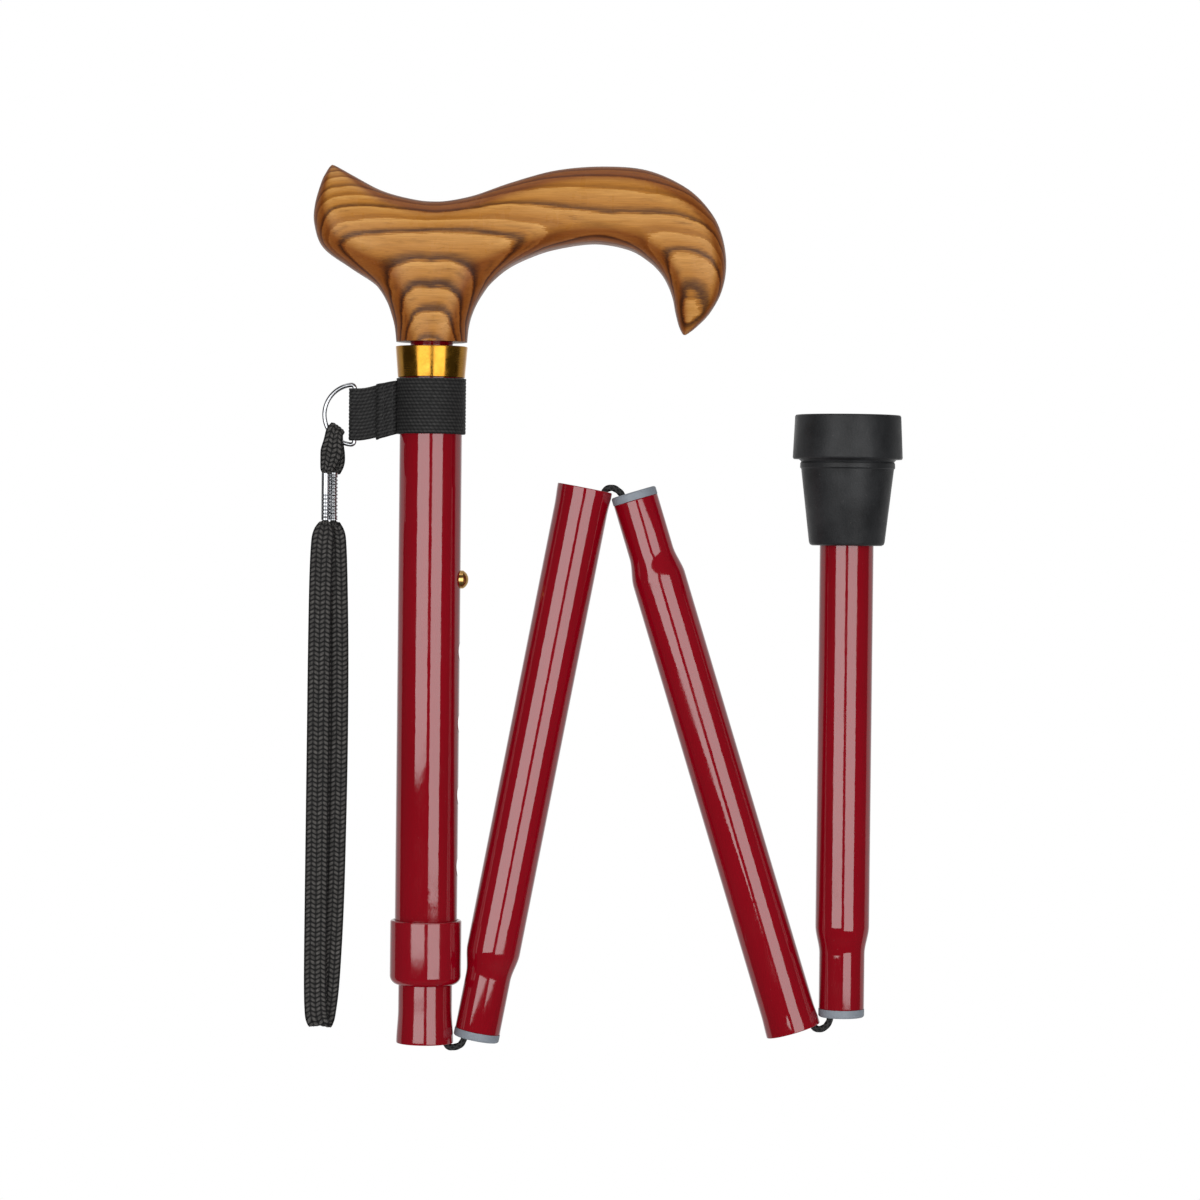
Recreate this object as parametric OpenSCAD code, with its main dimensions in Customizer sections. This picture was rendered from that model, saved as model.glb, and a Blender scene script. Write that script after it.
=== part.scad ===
// Folding walking cane with a derby handle, five height stops and a wrist strap.
// The shaft hangs from the palm point: +Z is up along the shaft, +X is the way the
// handle's nose points, and the four shaft sections zigzag in the XZ plane.

/* [Shaft tubes] */
// Outer diameter of the upper tube
upper_d = 22; // [21:0.5:24]
// Wall of the upper tube
upper_wall = 1.4; // [1:0.1:1.8]
// Wall of the folding sections
section_wall = 1.3; // [1:0.1:1.6]
// Radial clearance of the sliding tube inside the upper tube
slide_clearance = 0.1; // [0.05:0.05:0.2]
// Radial clearance of a spigot inside a socket
socket_clearance = 0.2; // [0.1:0.05:0.4]
// Length of one folding section with its end ring
section_length = 198.5; // [185:0.5:210]
// Straight length of a spigot with its end ring
spigot_length = 22.3; // [18:0.5:28]
// Length of the taper between spigot and full tube
taper_length = 10; // [6:1:16]
// Radial flare of a socket mouth
socket_flare = 0.3; // [0:0.1:0.5]
// Length of that flare
socket_flare_length = 8; // [5:1:12]
// Radial flare at the mouth of the sliding tube
slide_flare = 0.6; // [0:0.1:0.8]
// Length of that flare
slide_flare_length = 12; // [8:1:14]

/* [Zigzag] */
// Lean of the second section away from the upright first one
second_lean = 10.6; // [10:0.1:14]
// Lean of the third section, the other way
third_lean = 17.2; // [14:0.1:20]
// Gap between a ring and the tube it leans on
rim_gap = 0.3; // [0.2:0.1:0.6]

/* [Height stops] */
// Number of height holes
hole_count = 5; // [3:1:6]
// Distance between height holes
hole_pitch = 25.4; // [22:0.1:25.4]
// Distance from the locking collar's top edge up to the lowest height hole
hole_margin = 18.8; // [14:0.1:22]
// Diameter of the height holes
hole_d = 6.6; // [6:0.1:7]
// Radial clearance of the button in its holes
button_clearance = 0.1; // [0.05:0.05:0.2]
// Height of the button's dome above the upper tube
button_proud = 2.8; // [2:0.1:3.2]
// Thickness of the button's inner flange
button_flange = 1; // [0.8:0.1:1.4]
// Tube left above the button hole
slide_top_margin = 32.8; // [28:0.1:36]
// Length of sliding tube that shows below the locking collar
slide_out = 20.6; // [16:0.1:24]
// Strip thickness of the button's leaf spring
leaf_t = 0.5; // [0.4:0.1:0.7]
// Strip width of the leaf spring
leaf_w = 7; // [5:0.5:8]

/* [Handle] */
// Length of the grip from beak to nose
grip_length = 145; // [138:1:152]
// Thickness of the grip at its widest
grip_thickness = 30; // [28:0.5:33]
// Diameter of the handle's foot
foot_d = 25; // [24.5:0.5:27]
// Depth of the handle's foot below the palm
foot_depth = 49.2; // [49:0.1:50]
// Diameter of the tube's drawn neck that enters the handle
neck_d = 15; // [14:0.5:16]
// Length of neck inside the handle
neck_insert = 21; // [18:1:24]
// Radial glue gap round the neck
glue_gap = 0.05; // [0.05:0.05:0.15]

/* [Handle collar] */
// Gap of bare neck between handle and collar
neck_gap = 1.6; // [1:0.1:2]
// Height of the collar
collar_h = 11; // [9:0.5:12]
// Diameter of the collar's top edge
collar_top_d = 25.4; // [24.5:0.1:27]
// Diameter of the collar's bottom edge
collar_bottom_d = 23.6; // [23.2:0.1:24.4]
// Depth of the collar's lower socket over the tube
collar_socket = 7; // [5:0.5:8]
// Radius of the tube's shoulder
shoulder_r = 2.5; // [1.5:0.1:3]
// Radial gap between the collar and what it sits on
collar_clearance = 0.1; // [0.05:0.05:0.15]

/* [Locking collar] */
// Outer diameter of the locking collar
lock_d = 25.2; // [25:0.1:26]
// Height of the locking collar
lock_h = 22.8; // [21:0.1:24]
// Depth of its top edge below the palm
lock_top_depth = 253.2; // [252:0.1:255]
// Radius of its lower edge
lock_edge_r = 3.2; // [2:0.1:3.4]
// Length of upper tube inside the locking collar
lock_overlap = 9; // [7:0.5:10]
// Radial gap between locking collar and upper tube
lock_clearance = 0.1; // [0.05:0.05:0.15]
// Radial gap where the sliding tube leaves the collar
lock_exit_gap = 0.35; // [0.3:0.05:0.5]
// Length of the split grip ring
bush_h = 9; // [7:0.5:10]
// Width of the slit in the grip ring
bush_slit = 1.4; // [1:0.1:2]

/* [End rings] */
// Length of a ring's outer lip
lip_h = 2.9; // [2:0.1:3.5]
// Rounding of the lip's outer edge
lip_edge = 0.8; // [0.4:0.1:1]
// How far the lip stands out beyond the spigot
lip_proud = 0.1; // [0:0.05:0.15]
// Length of the ring's sleeve inside the spigot
sleeve_length = 12; // [9:1:14]
// Diameter of the ring's cord opening
ring_bore = 10.8; // [10:0.1:11.4]

/* [Elastic cord] */
// Diameter of the stretched elastic cord
cord_d = 2.4; // [2:0.1:2.6]
// Length of the anchor plugs
anchor_h = 9; // [6:1:12]
// Diameter of the knots that hold the cord
knot_d = 7; // [5.5:0.5:8]
// Radial gap round the cord in a plug
cord_hole_gap = 0.15; // [0.1:0.05:0.3]
// Distance from the button hole down to the upper plug
anchor_drop = 24; // [20:1:30]

/* [Tip] */
// Depth of the ferrule's sole below the palm, in the folded zigzag
sole_depth = 73.4; // [72:0.1:75]
// Height of the ferrule
ferrule_h = 46; // [43:0.5:48]
// Diameter of the sole
sole_d = 37.4; // [36:0.2:38]
// Diameter of the rim above the sole
rim_d = 38.8; // [38.2:0.2:40]
// Height of the rim
rim_h = 15.6; // [13:0.2:17]
// Diameter of the groove above the rim
groove_d = 33.4; // [33:0.2:34.4]
// Height of the band between groove and taper
groove_h = 3.4; // [2.5:0.1:4]
// Diameter where the ferrule's taper starts
taper_top_d = 32.7; // [32:0.1:33]
// Diameter of the ferrule's narrow end
mouth_d = 26.7; // [26:0.1:28]
// Thickness of rubber under the washer
sole_t = 8; // [6:0.5:10]
// Thickness of the steel washer in the ferrule
washer_t = 1; // [0.8:0.1:1.6]
// Depth of the tread rings in the sole
tread_depth = 1.6; // [1:0.1:2.2]
// Width of each tread groove
tread_w = 2; // [1.4:0.1:2.4]
// Number of tread grooves
tread_count = 3; // [2:1:3]
// Radial gap between ferrule and tube
ferrule_gap = 0.05; // [0.05:0.05:0.15]

/* [Strap band] */
// Height of the webbing band
band_h = 19.6; // [16:0.2:20]
// Thickness of one webbing layer
web_t = 1.2; // [1:0.1:1.4]
// Gap between collar and band
band_drop = 0.3; // [0.2:0.1:0.6]
// Distance from the shaft's axis to the ring's bar
bar_reach = 27; // [25:0.5:30]
// Radial clearance of the band on the tube
band_clearance = 0.1; // [0.1:0.05:0.2]
// Drop of the tab at the ring
tab_drop = 3.2; // [2.8:0.1:3.6]
// Height of the tab at the ring
tab_h = 18.6; // [16:0.1:18.8]
// Wire diameter of the strap ring
wire_d = 1.6; // [1.4:0.1:1.8]
// Radius of the strap ring's bow
bow_r = 10.6; // [10.5:0.1:11.2]
// Radial clearance of the wire in its tunnel
wire_clearance = 0.08; // [0.05:0.01:0.1]

/* [Wrist strap] */
// Width of the flat braid
strap_w = 8.1; // [7.5:0.1:8.4]
// Thickness of the flat braid
strap_t = 1.8; // [1.5:0.1:1.9]
// Drop of the strap's loop below the crimp
loop_drop = 178; // [150:1:180]
// Drop of the crimp below the ring's wire
crimp_drop = 13.1; // [12.8:0.1:15]
// Length of the crimp
crimp_h = 16.6; // [14:0.2:18]
// Outer diameter of each crimp lobe
lobe_d = 3; // [2.8:0.1:3.2]
// Wall of each crimp lobe
lobe_wall = 0.35; // [0.3:0.05:0.45]
// Number of ribs rolled into the crimp
crimp_ribs = 9; // [6:1:10]

/* [Hidden] */
$fn = 64;
cord_sides = 8;
// How far a cutter runs past the face it cuts
over = 1;

// Radii that follow from the fits
upper_r = upper_d / 2;
upper_bore_r = upper_r - upper_wall;
tube_r = upper_bore_r - slide_clearance;
socket_bore_r = tube_r - section_wall;
spigot_r = socket_bore_r - socket_clearance;
spigot_bore_r = spigot_r - section_wall;
lip_r = spigot_r + lip_proud;
neck_r = neck_d / 2;
neck_bore_r = neck_r - upper_wall;
foot_r = foot_d / 2;
cord_r = cord_d / 2;
wire_r = wire_d / 2;
lock_r = lock_d / 2;
hole_r = hole_d / 2;
button_r = hole_r - button_clearance;

// Heights on the first section
foot_z = -foot_depth;
neck_top_z = foot_z + neck_insert;
collar_top_z = foot_z - neck_gap;
collar_bottom_z = collar_top_z - collar_h;
shoulder_z = collar_bottom_z + collar_socket;
band_top_z = collar_bottom_z - band_drop;
lock_top_z = -lock_top_depth;
lock_bottom_z = lock_top_z - lock_h;
upper_end_z = lock_top_z - lock_overlap;
button_z = lock_top_z + hole_margin + (hole_count - 1) * hole_pitch;
slide_top_z = button_z + slide_top_margin;
slide_end_z = lock_bottom_z - slide_out;
slide_length = slide_top_z - slide_end_z;
anchor_z = button_z - anchor_drop;

// Radius of a section's outside at height h above its ring end, flared at its mouth
function ease(t) = let(u = min(max(t, 0), 1)) u * u * (3 - 2 * u);
function flare_at(h, length, flare, run) = flare * ease((h - length + run) / run);
function spigot_at(h) = spigot_r + (tube_r - spigot_r) * ease((h - spigot_length) / taper_length);

// Places of the three end rings: each ring's rounded lip rests rim_gap off the mouth
// of the section before it, at a chosen distance from that mouth
mouth_offset = [3.6, 2.2, 2.7];
lip_run = lip_r - lip_edge;

function along(angle) = [sin(angle), cos(angle)];
function across(angle) = [cos(angle), -sin(angle)];
function side_at(h, flare, run) = tube_r + flare * ease(1 - h / run) + rim_gap + lip_edge;

slide_end = [0, slide_end_z];
second_axis = second_lean;
third_axis = 180 - third_lean;
ring_1 = slide_end
    + side_at(mouth_offset[0], slide_flare, slide_flare_length) * across(0)
    + mouth_offset[0] * along(0)
    + lip_run * across(second_axis) - lip_edge * along(second_axis);
second_end = ring_1 + section_length * along(second_axis);
ring_2 = second_end
    + side_at(mouth_offset[1], socket_flare, socket_flare_length) * across(second_axis)
    - mouth_offset[1] * along(second_axis)
    - lip_run * across(third_axis) - lip_edge * along(third_axis);
third_end = ring_2 + section_length * along(third_axis);
ring_3 = third_end
    - side_at(mouth_offset[2], socket_flare, socket_flare_length) * across(third_axis)
    - mouth_offset[2] * along(third_axis)
    + lip_run * across(0) - lip_edge * along(0);
tip_z = -sole_depth - sole_t - washer_t;
tip_length = tip_z - ring_3[1];

module at_section(place, angle) translate([place[0], 0, place[1]]) rotate([0, angle, 0]) children();

// Smooth curve through points of any dimension
function blend(a, b, c, d, t) =
    (2 * b + (c - a) * t + (2 * a - 5 * b + 4 * c - d) * t * t
    + (3 * b - a - 3 * c + d) * t * t * t) / 2;
function curve(p, steps) = [
    for (i = [0 : len(p) - 2], j = [0 : steps - 1])
        blend(p[max(i - 1, 0)], p[i], p[i + 1], p[min(i + 2, len(p) - 1)], j / steps),
    p[len(p) - 1]
];

// Faces of a lofted body made of closed rings of n points, with both ends closed
function loft_faces(rings, n) = [
    for (i = [0 : rings - 2], j = [0 : n - 1])
        let(k = (j + 1) % n) each [
            [i * n + j, (i + 1) * n + j, (i + 1) * n + k],
            [i * n + j, (i + 1) * n + k, i * n + k]
        ],
    [for (j = [0 : n - 1]) j],
    [for (j = [n - 1 : -1 : 0]) (rings - 1) * n + j]
];
module loft(rings) polyhedron([for (r = rings) each r], loft_faces(len(rings), len(rings[0])), convexity = 6);

// Power curve of a rounded-square section: corner 2 is an ellipse, more is squarer
function power(v, corner) = sign(v) * pow(abs(v), 2 / corner);

// The handle is one skin of ribs. Each rib bows round from the back ridge, over a point
// of the side outline, to the front ridge, and the ridges run along the grip and down
// the neck. Stations: top x, top z, underside x, underside z, half thickness as a share
beak_stations = [
    [-34.9, 12.6, -36.3, 12.3, 0.12],
    [-31.5, 10.8, -37.8, 9.8, 0.40],
    [-27.5, 8.6, -39.3, 6.5, 0.60],
    [-20.0, 4.6, -41.5, -1.5, 0.82],
    [-14.0, 2.4, -41.6, -8.5, 0.92],
    [-6.5, 0.7, -38.5, -16.5, 0.98]
];
nose_stations = [
    [27.5, 7.0, 33.5, -19.4, 0.98],
    [43.0, 11.4, 43.0, -16.1, 0.95],
    [59.5, 13.0, 57.0, -14.0, 0.92],
    [75.5, 11.8, 69.0, -15.9, 0.90],
    [89.5, 5.6, 76.3, -20.0, 0.88],
    [98.0, -2.8, 80.6, -24.2, 0.85],
    [102.0, -11.2, 83.1, -28.4, 0.81],
    [103.5, -21.1, 84.8, -33.0, 0.74],
    [102.0, -30.3, 85.8, -37.9, 0.62],
    [98.0, -37.9, 86.9, -42.1, 0.48],
    [93.5, -42.7, 87.9, -44.5, 0.30],
    [90.2, -45.3, 88.8, -45.7, 0.12]
];
// Over the neck: top x, top z, ridge x, ridge z, half thickness as a share
saddle_stations = [
    [-1.0, 0.1, -11.0, -12.5, 1.00],
    [5.5, 0.4, 0.0, -14.0, 1.00],
    [15.0, 2.5, 13.5, -12.0, 1.00]
];
// Where the neck meets the grip's underside: left and right points of the outline
crotch_left = [[-29.2, -23.2], [-21.1, -28.4]];
crotch_right = [[20.8, -28.0], [26.3, -23.2]];
// Neck from the saddle down, above the foot: left x, right x, outline height, ridge
// height, half thickness as a share of the way from foot to grip, corner
neck_stations = [
    [-18.2, 18.2, 17.8, 29.0, 0.88, 2.5],
    [-15.7, 15.7, 13.6, 21.5, 0.66, 2.4],
    [-14.2, 14.0, 9.4, 14.5, 0.36, 2.3],
    [-13.1, 13.0, 5.2, 7.5, 0.12, 2.15]
];
rib_half = 6;
grip_steps = 2;
grip_corner = 2.5;
outline_length = 145.1;
outline_foot_r = 12.5;
// Points nearer than this are one point of the skin
same_point = 0.001;
grip_scale = grip_length / outline_length;
grip_half = grip_thickness / 2;

// Chain stations: outline x and z, ridge x and z, half thickness, corner
function on_grip(p, ridge, share) =
    [p[0] * grip_scale, p[1], ridge[0] * grip_scale, ridge[1], share * grip_half, grip_corner];
function ridge_of(s) = [(s[0] + s[2]) / 2, (s[1] + s[3]) / 2];
function top_side(s) = on_grip([s[0], s[1]], ridge_of(s), s[4]);
function under_side(s) = on_grip([s[2], s[3]], ridge_of(s), s[4]);
function saddle_side(p, s) = on_grip(p, [s[2], s[3]], s[4]);
function neck_side(s, k) = [
    sign(s[k]) * foot_r + (s[k] - sign(s[k]) * outline_foot_r) * grip_scale,
    foot_z + s[2], 0, foot_z + s[3], foot_r + (grip_half - foot_r) * s[4], s[5]
];
function foot_side(side) = [side * foot_r, foot_z, 0, foot_z, foot_r, 2];
nose_last = len(nose_stations) - 1;

chain = concat(
    [foot_side(1)],
    [for (i = [len(neck_stations) - 1 : -1 : 0]) neck_side(neck_stations[i], 1)],
    [saddle_side(crotch_right[0], saddle_stations[1]), saddle_side(crotch_right[1], saddle_stations[2])],
    [for (s = nose_stations) under_side(s)],
    [for (i = [nose_last : -1 : 0]) top_side(nose_stations[i])],
    [for (i = [2 : -1 : 0]) saddle_side(saddle_stations[i], saddle_stations[i])],
    [for (i = [len(beak_stations) - 1 : -1 : 0]) top_side(beak_stations[i])],
    [for (s = beak_stations) under_side(s)],
    [saddle_side(crotch_left[0], saddle_stations[0]), saddle_side(crotch_left[1], saddle_stations[1])],
    [for (s = neck_stations) neck_side(s, 0)],
    [foot_side(-1)]
);

// The outline is a smooth curve, the ridge runs straight between stations
function part_way(c, i, t) =
    let(
        p = blend(c[max(i - 1, 0)], c[i], c[i + 1], c[min(i + 2, len(c) - 1)], t),
        q = c[i] + (c[i + 1] - c[i]) * t
    )
    [p[0], p[1], round(q[2] * 1e4) / 1e4, round(q[3] * 1e4) / 1e4, round(q[4] * 1e4) / 1e4, q[5]];
function rib(s) = [
    for (j = [-rib_half : rib_half])
        let(a = 90 * j / rib_half, bow = power(cos(a), s[5])) [
            s[2] + (s[0] - s[2]) * bow,
            s[4] * power(sin(a), s[5]),
            s[3] + (s[1] - s[3]) * bow
        ]
];

module handle_skin() {
    ribs = [
        for (i = [0 : len(chain) - 2], j = [0 : grip_steps - 1]) rib(part_way(chain, i, j / grip_steps)),
        rib(chain[len(chain) - 1])
    ];
    n = 2 * rib_half + 1;
    m = len(ribs);
    points = [for (r = ribs) each r];
    skin = [
        for (i = [0 : m - 2], j = [0 : n - 2]) each [
            [i * n + j, i * n + j + 1, (i + 1) * n + j + 1],
            [i * n + j, (i + 1) * n + j + 1, (i + 1) * n + j]
        ]
    ];
    foot = concat([for (j = [n - 1 : -1 : 1]) j], [for (j = [0 : n - 2]) (m - 1) * n + j]);
    sides = [
        for (f = skin)
            let(edges = [for (k = [0 : 2]) norm(points[f[k]] - points[f[(k + 1) % 3]])])
                if (min(edges) > same_point) f
    ];
    polyhedron(points, concat(sides, [foot]), convexity = 6);
}

module handle() color([0.65, 0.42, 0.17]) difference() {
    handle_skin();
    translate([0, 0, foot_z - over]) cylinder(r = neck_r + glue_gap, h = neck_insert + 2 * over);
}

module handle_collar() color([0.85, 0.6, 0.1]) difference() {
    translate([0, 0, collar_bottom_z])
        cylinder(d1 = collar_bottom_d, d2 = collar_top_d, h = collar_h);
    translate([0, 0, shoulder_z]) cylinder(r = neck_r + collar_clearance, h = collar_h);
    translate([0, 0, collar_bottom_z - over])
        cylinder(r = upper_r + collar_clearance, h = collar_socket + over);
}

// Quarter arc from its level end to its upright end
function quarter(centre, r, from, steps) = [
    for (i = [0 : steps]) centre + r * [cos(from + 90 * i / steps), sin(from + 90 * i / steps)]
];

module upper_tube() color([0.5, 0, 0.09]) difference() {
    rotate_extrude() polygon(concat(
        [[upper_bore_r, upper_end_z], [upper_r, upper_end_z]],
        quarter([upper_r - shoulder_r, shoulder_z - shoulder_r], shoulder_r, 0, 6),
        [[neck_r, shoulder_z], [neck_r, neck_top_z], [neck_bore_r, neck_top_z]],
        [[neck_bore_r, shoulder_z - upper_wall], [upper_bore_r, shoulder_z - shoulder_r - upper_wall]]
    ));
    for (i = [0 : hole_count - 1])
        translate([0, 0, button_z - i * hole_pitch]) rotate([0, 90, 0]) cylinder(r = hole_r, h = upper_d);
}

// Locking collar: a socket over the upper tube, a seat for the grip ring and a small exit
lock_mouth = 0.6;
lock_bevel = 0.4;
bush_seat = 2;
bush_rest = 0.6;
bush_gap = 0.3;
bush_foot_gap = 0.7;
bush_head_gap = 0.15;

module lock_collar() color([0.52, 0, 0.1]) rotate_extrude() polygon(concat(
    [[upper_r + lock_clearance, upper_end_z], [upper_r + lock_clearance, lock_top_z - lock_mouth]],
    [[upper_r + lock_clearance + lock_mouth, lock_top_z], [lock_r - lock_bevel, lock_top_z]],
    [[lock_r, lock_top_z - lock_bevel]],
    [for (i = [0 : 6]) [
        lock_r - lock_edge_r + lock_edge_r * cos(15 * i),
        lock_bottom_z + lock_edge_r - lock_edge_r * sin(15 * i)
    ]],
    [[tube_r + lock_exit_gap, lock_bottom_z]],
    [[tube_r + lock_exit_gap, upper_end_z - bush_h + bush_rest - bush_seat]],
    [[upper_r + lock_clearance, upper_end_z - bush_h + bush_rest]]
));

module lock_bush() color([0.15, 0.15, 0.16]) difference() {
    translate([0, 0, upper_end_z - bush_gap - bush_h])
        cylinder(r1 = upper_r - bush_foot_gap, r2 = upper_r - bush_head_gap, h = bush_h);
    translate([0, 0, upper_end_z - bush_h - over])
        cylinder(r = tube_r + slide_clearance, h = bush_h + 2 * over);
    translate([-upper_d, -bush_slit / 2, upper_end_z - bush_h - over])
        cube([upper_d, bush_slit, bush_h + 2 * over]);
}

module inner_tube() color([0.5, 0, 0.09]) difference() {
    translate([0, 0, slide_end_z]) rotate_extrude() {
        steps = 8;
        run = [for (i = [0 : steps]) slide_flare_length * (1 - i / steps)];
        rise = [for (h = run) slide_flare * ease(1 - h / slide_flare_length)];
        polygon(concat(
            [[socket_bore_r, slide_length], [tube_r, slide_length]],
            [for (i = [0 : steps]) [tube_r + rise[i], run[i]]],
            [for (i = [steps : -1 : 0]) [socket_bore_r + rise[i], run[i]]]
        ));
    }
    translate([0, 0, button_z]) rotate([0, 90, 0]) cylinder(r = hole_r, h = upper_d);
}

// Dome radius from the button's radius and its proud height
dome_h = 1.9;
dome_r = (button_r * button_r + dome_h * dome_h) / (2 * dome_h);
button_tip = upper_r + button_proud;
flange_step = 0.8;
flange_r = button_r + flange_step;
flange_face = sqrt(socket_bore_r * socket_bore_r - flange_r * flange_r) - button_clearance;

module snap_button() color([0.75, 0.5, 0.2]) translate([0, 0, button_z]) rotate([0, 90, 0]) {
    intersection() {
        cylinder(r = button_r, h = button_tip);
        translate([0, 0, button_tip - dome_r]) sphere(r = dome_r);
        translate([0, 0, flange_face - button_flange]) cylinder(r = flange_r, h = button_tip);
    }
    translate([0, 0, flange_face - button_flange]) cylinder(r = flange_r, h = button_flange);
}

// Leaf spring: a hairpin strip whose arms lean on the button and on the far wall
leaf_reach = 20;
leaf_bow = 3.4;
leaf_foot = 4;
leaf_touch = 0.02;
leaf_back = flange_face - button_flange - leaf_touch;
leaf_front = leaf_touch - sqrt(socket_bore_r * socket_bore_r - leaf_w * leaf_w / 4);

leaf_mid = (leaf_back + leaf_front) / 2;
leaf_arc = [for (i = [0 : 8]) [-cos(22.5 * i), sin(22.5 * i)]];

module button_spring() color([0.7, 0.7, 0.72]) translate([0, leaf_w / 2, button_z]) rotate([90, 0, 0])
    linear_extrude(leaf_w) polygon(concat(
        [[leaf_front, -leaf_foot], [leaf_front, 0]],
        [for (p = leaf_arc) [leaf_mid, leaf_reach] + leaf_bow * p],
        [[leaf_back, 0], [leaf_back, -leaf_foot], [leaf_back - leaf_t, -leaf_foot], [leaf_back - leaf_t, 0]],
        [for (i = [8 : -1 : 0]) [leaf_mid, leaf_reach] + (leaf_bow - leaf_t) * leaf_arc[i]],
        [[leaf_front + leaf_t, 0], [leaf_front + leaf_t, -leaf_foot]]
    ));

// Folding section from its ring lip up to its mouth
module section(length, flare, run) {
    steps = 6;
    bottom = [for (i = [0 : steps]) spigot_length + taper_length * i / steps];
    top = [for (i = [0 : steps]) length - run + run * i / steps];
    outer = concat(
        [[spigot_r, lip_h]],
        [for (h = bottom) [spigot_at(h), h]],
        [for (h = top) [tube_r + flare_at(h, length, flare, run), h]]
    );
    wall = [section_wall, 0];
    rotate_extrude() polygon(concat(outer, [for (i = [len(outer) - 1 : -1 : 0]) outer[i] - wall]));
}

module second_tube() color([0.5, 0, 0.09])
    at_section(ring_1, second_axis) section(section_length, socket_flare, socket_flare_length);
module third_tube() color([0.5, 0, 0.09])
    at_section(ring_2, third_axis) section(section_length, socket_flare, socket_flare_length);
module tip_tube() color([0.5, 0, 0.09])
    at_section(ring_3, 0) section(tip_length, 0, socket_flare_length);

// Plastic end ring: a lip on the spigot's edge and a sleeve inside it
module end_ring() {
    bore = ring_bore / 2;
    rotate_extrude() polygon(concat(
        [for (i = [0 : 5]) [lip_r - lip_edge + lip_edge * sin(18 * i), lip_edge - lip_edge * cos(18 * i)]],
        [[lip_r, lip_h], [spigot_bore_r - glue_gap, lip_h]],
        [[spigot_bore_r - glue_gap, lip_h + sleeve_length], [bore, lip_h + sleeve_length]],
        [for (i = [0 : 5]) [bore + lip_edge - lip_edge * cos(18 * i), lip_edge - lip_edge * sin(18 * i)]]
    ));
}

module end_ring_1() color([0.6, 0.63, 0.67]) at_section(ring_1, second_axis) end_ring();
module end_ring_2() color([0.6, 0.63, 0.67]) at_section(ring_2, third_axis) end_ring();
module end_ring_3() color([0.6, 0.63, 0.67]) at_section(ring_3, 0) end_ring();

// Cord anchors: a plug with a knot behind it at each end of the elastic cord
plug_room = 1;
cord_lead = 2;
module anchor_plug() difference() {
    cylinder(r = socket_bore_r - glue_gap, h = anchor_h);
    translate([0, 0, -over]) cylinder(r = cord_r + cord_hole_gap, h = anchor_h + 2 * over);
}
tip_anchor_z = tip_z - knot_d - anchor_h - plug_room;
module anchor_top() color([0.12, 0.12, 0.13]) translate([0, 0, anchor_z - anchor_h]) anchor_plug();
module knot_top() color([0.05, 0.05, 0.05]) translate([0, 0, anchor_z + knot_d / 2]) sphere(d = knot_d);
module anchor_tip() color([0.12, 0.12, 0.13]) translate([ring_3[0], 0, tip_anchor_z]) anchor_plug();
module knot_tip() color([0.05, 0.05, 0.05])
    translate([ring_3[0], 0, tip_anchor_z + anchor_h + knot_d / 2]) sphere(d = knot_d);

// Round cord swept in the XZ plane along points [x, z]
function cord_ring(p, i, r) =
    let(
        a = p[max(i - 1, 0)],
        b = p[min(i + 1, len(p) - 1)],
        t = (b - a) / norm(b - a)
    ) [
        for (j = [0 : cord_sides - 1])
            let(w = 360 * (j + 0.5) / cord_sides)
                [p[i][0] + r * cos(w) * t[1], r * sin(w), p[i][1] - r * cos(w) * t[0]]
    ];
module cord(p) loft([for (i = [0 : len(p) - 1]) cord_ring(p, i, cord_r)]);

// Where the cord leaves each mouth and enters each ring, hugging the near side
cord_wall_gap = 0.15;
cord_lip_gap = 0.1;
cord_edge = socket_bore_r - cord_r - cord_wall_gap;
ring_edge = ring_bore / 2 - cord_r - cord_lip_gap;
mouth_inset = 8;
ring_inset = 2.5;
slide_exit = slide_end + cord_edge * across(0) + mouth_inset * along(0);
second_entry = ring_1 - ring_edge * across(second_axis) + ring_inset * along(second_axis);
second_exit = second_end + cord_edge * across(second_axis) - mouth_inset * along(second_axis);
third_entry = ring_2 + ring_edge * across(third_axis) + ring_inset * along(third_axis);
third_exit = third_end - cord_edge * across(third_axis) - mouth_inset * along(third_axis);
tip_entry = ring_3 - ring_edge * across(0) + ring_inset * along(0);

module cord_run_1() color([0.05, 0.05, 0.05])
    cord([[0, anchor_z], [0, anchor_z - anchor_h - cord_lead], slide_exit]);
module cord_run_2() color([0.05, 0.05, 0.05]) cord([second_entry, second_exit]);
module cord_run_3() color([0.05, 0.05, 0.05]) cord([third_entry, third_exit]);
module cord_run_4() color([0.05, 0.05, 0.05])
    cord([tip_entry, [ring_3[0], tip_anchor_z - cord_lead], [ring_3[0], tip_anchor_z + anchor_h]]);

// Open bends of the cord over each mouth: share of the way from exit to entry, and rise
// off that line
bend_1 = [[0.014, 0.28], [0.271, 4.36], [0.451, 7.09], [0.638, 7.93], [0.862, 7.23], [1.044, 5.71],
    [1.085, 3.49], [1.04, 1.36], [1.01, 0.27]];
bend_2 = [[0.014, -0.2], [0.327, -3.96], [0.482, -6.01], [0.641, -6.82], [0.846, -6.28], [0.982, -4.62],
    [1.047, -2.52], [1.005, -0.26]];
bend_3 = [[0.019, 0.16], [0.354, 4.87], [0.553, 7.31], [0.797, 7.69], [1.005, 6.39], [1.105, 4.21],
    [1.085, 2.29], [1.01, 0.29]];
function bend_from(a, b, shape) =
    let(way = b - a, rise = [way[1], -way[0]] / norm(way)) [for (s = shape) a + way * s[0] + rise * s[1]];
module cord_bend_1() color([0.05, 0.05, 0.05]) cord(curve(bend_from(slide_exit, second_entry, bend_1), 2));
module cord_bend_2() color([0.05, 0.05, 0.05]) cord(curve(bend_from(second_exit, third_entry, bend_2), 2));
module cord_bend_3() color([0.05, 0.05, 0.05]) cord(curve(bend_from(third_exit, tip_entry, bend_3), 2));

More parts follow.
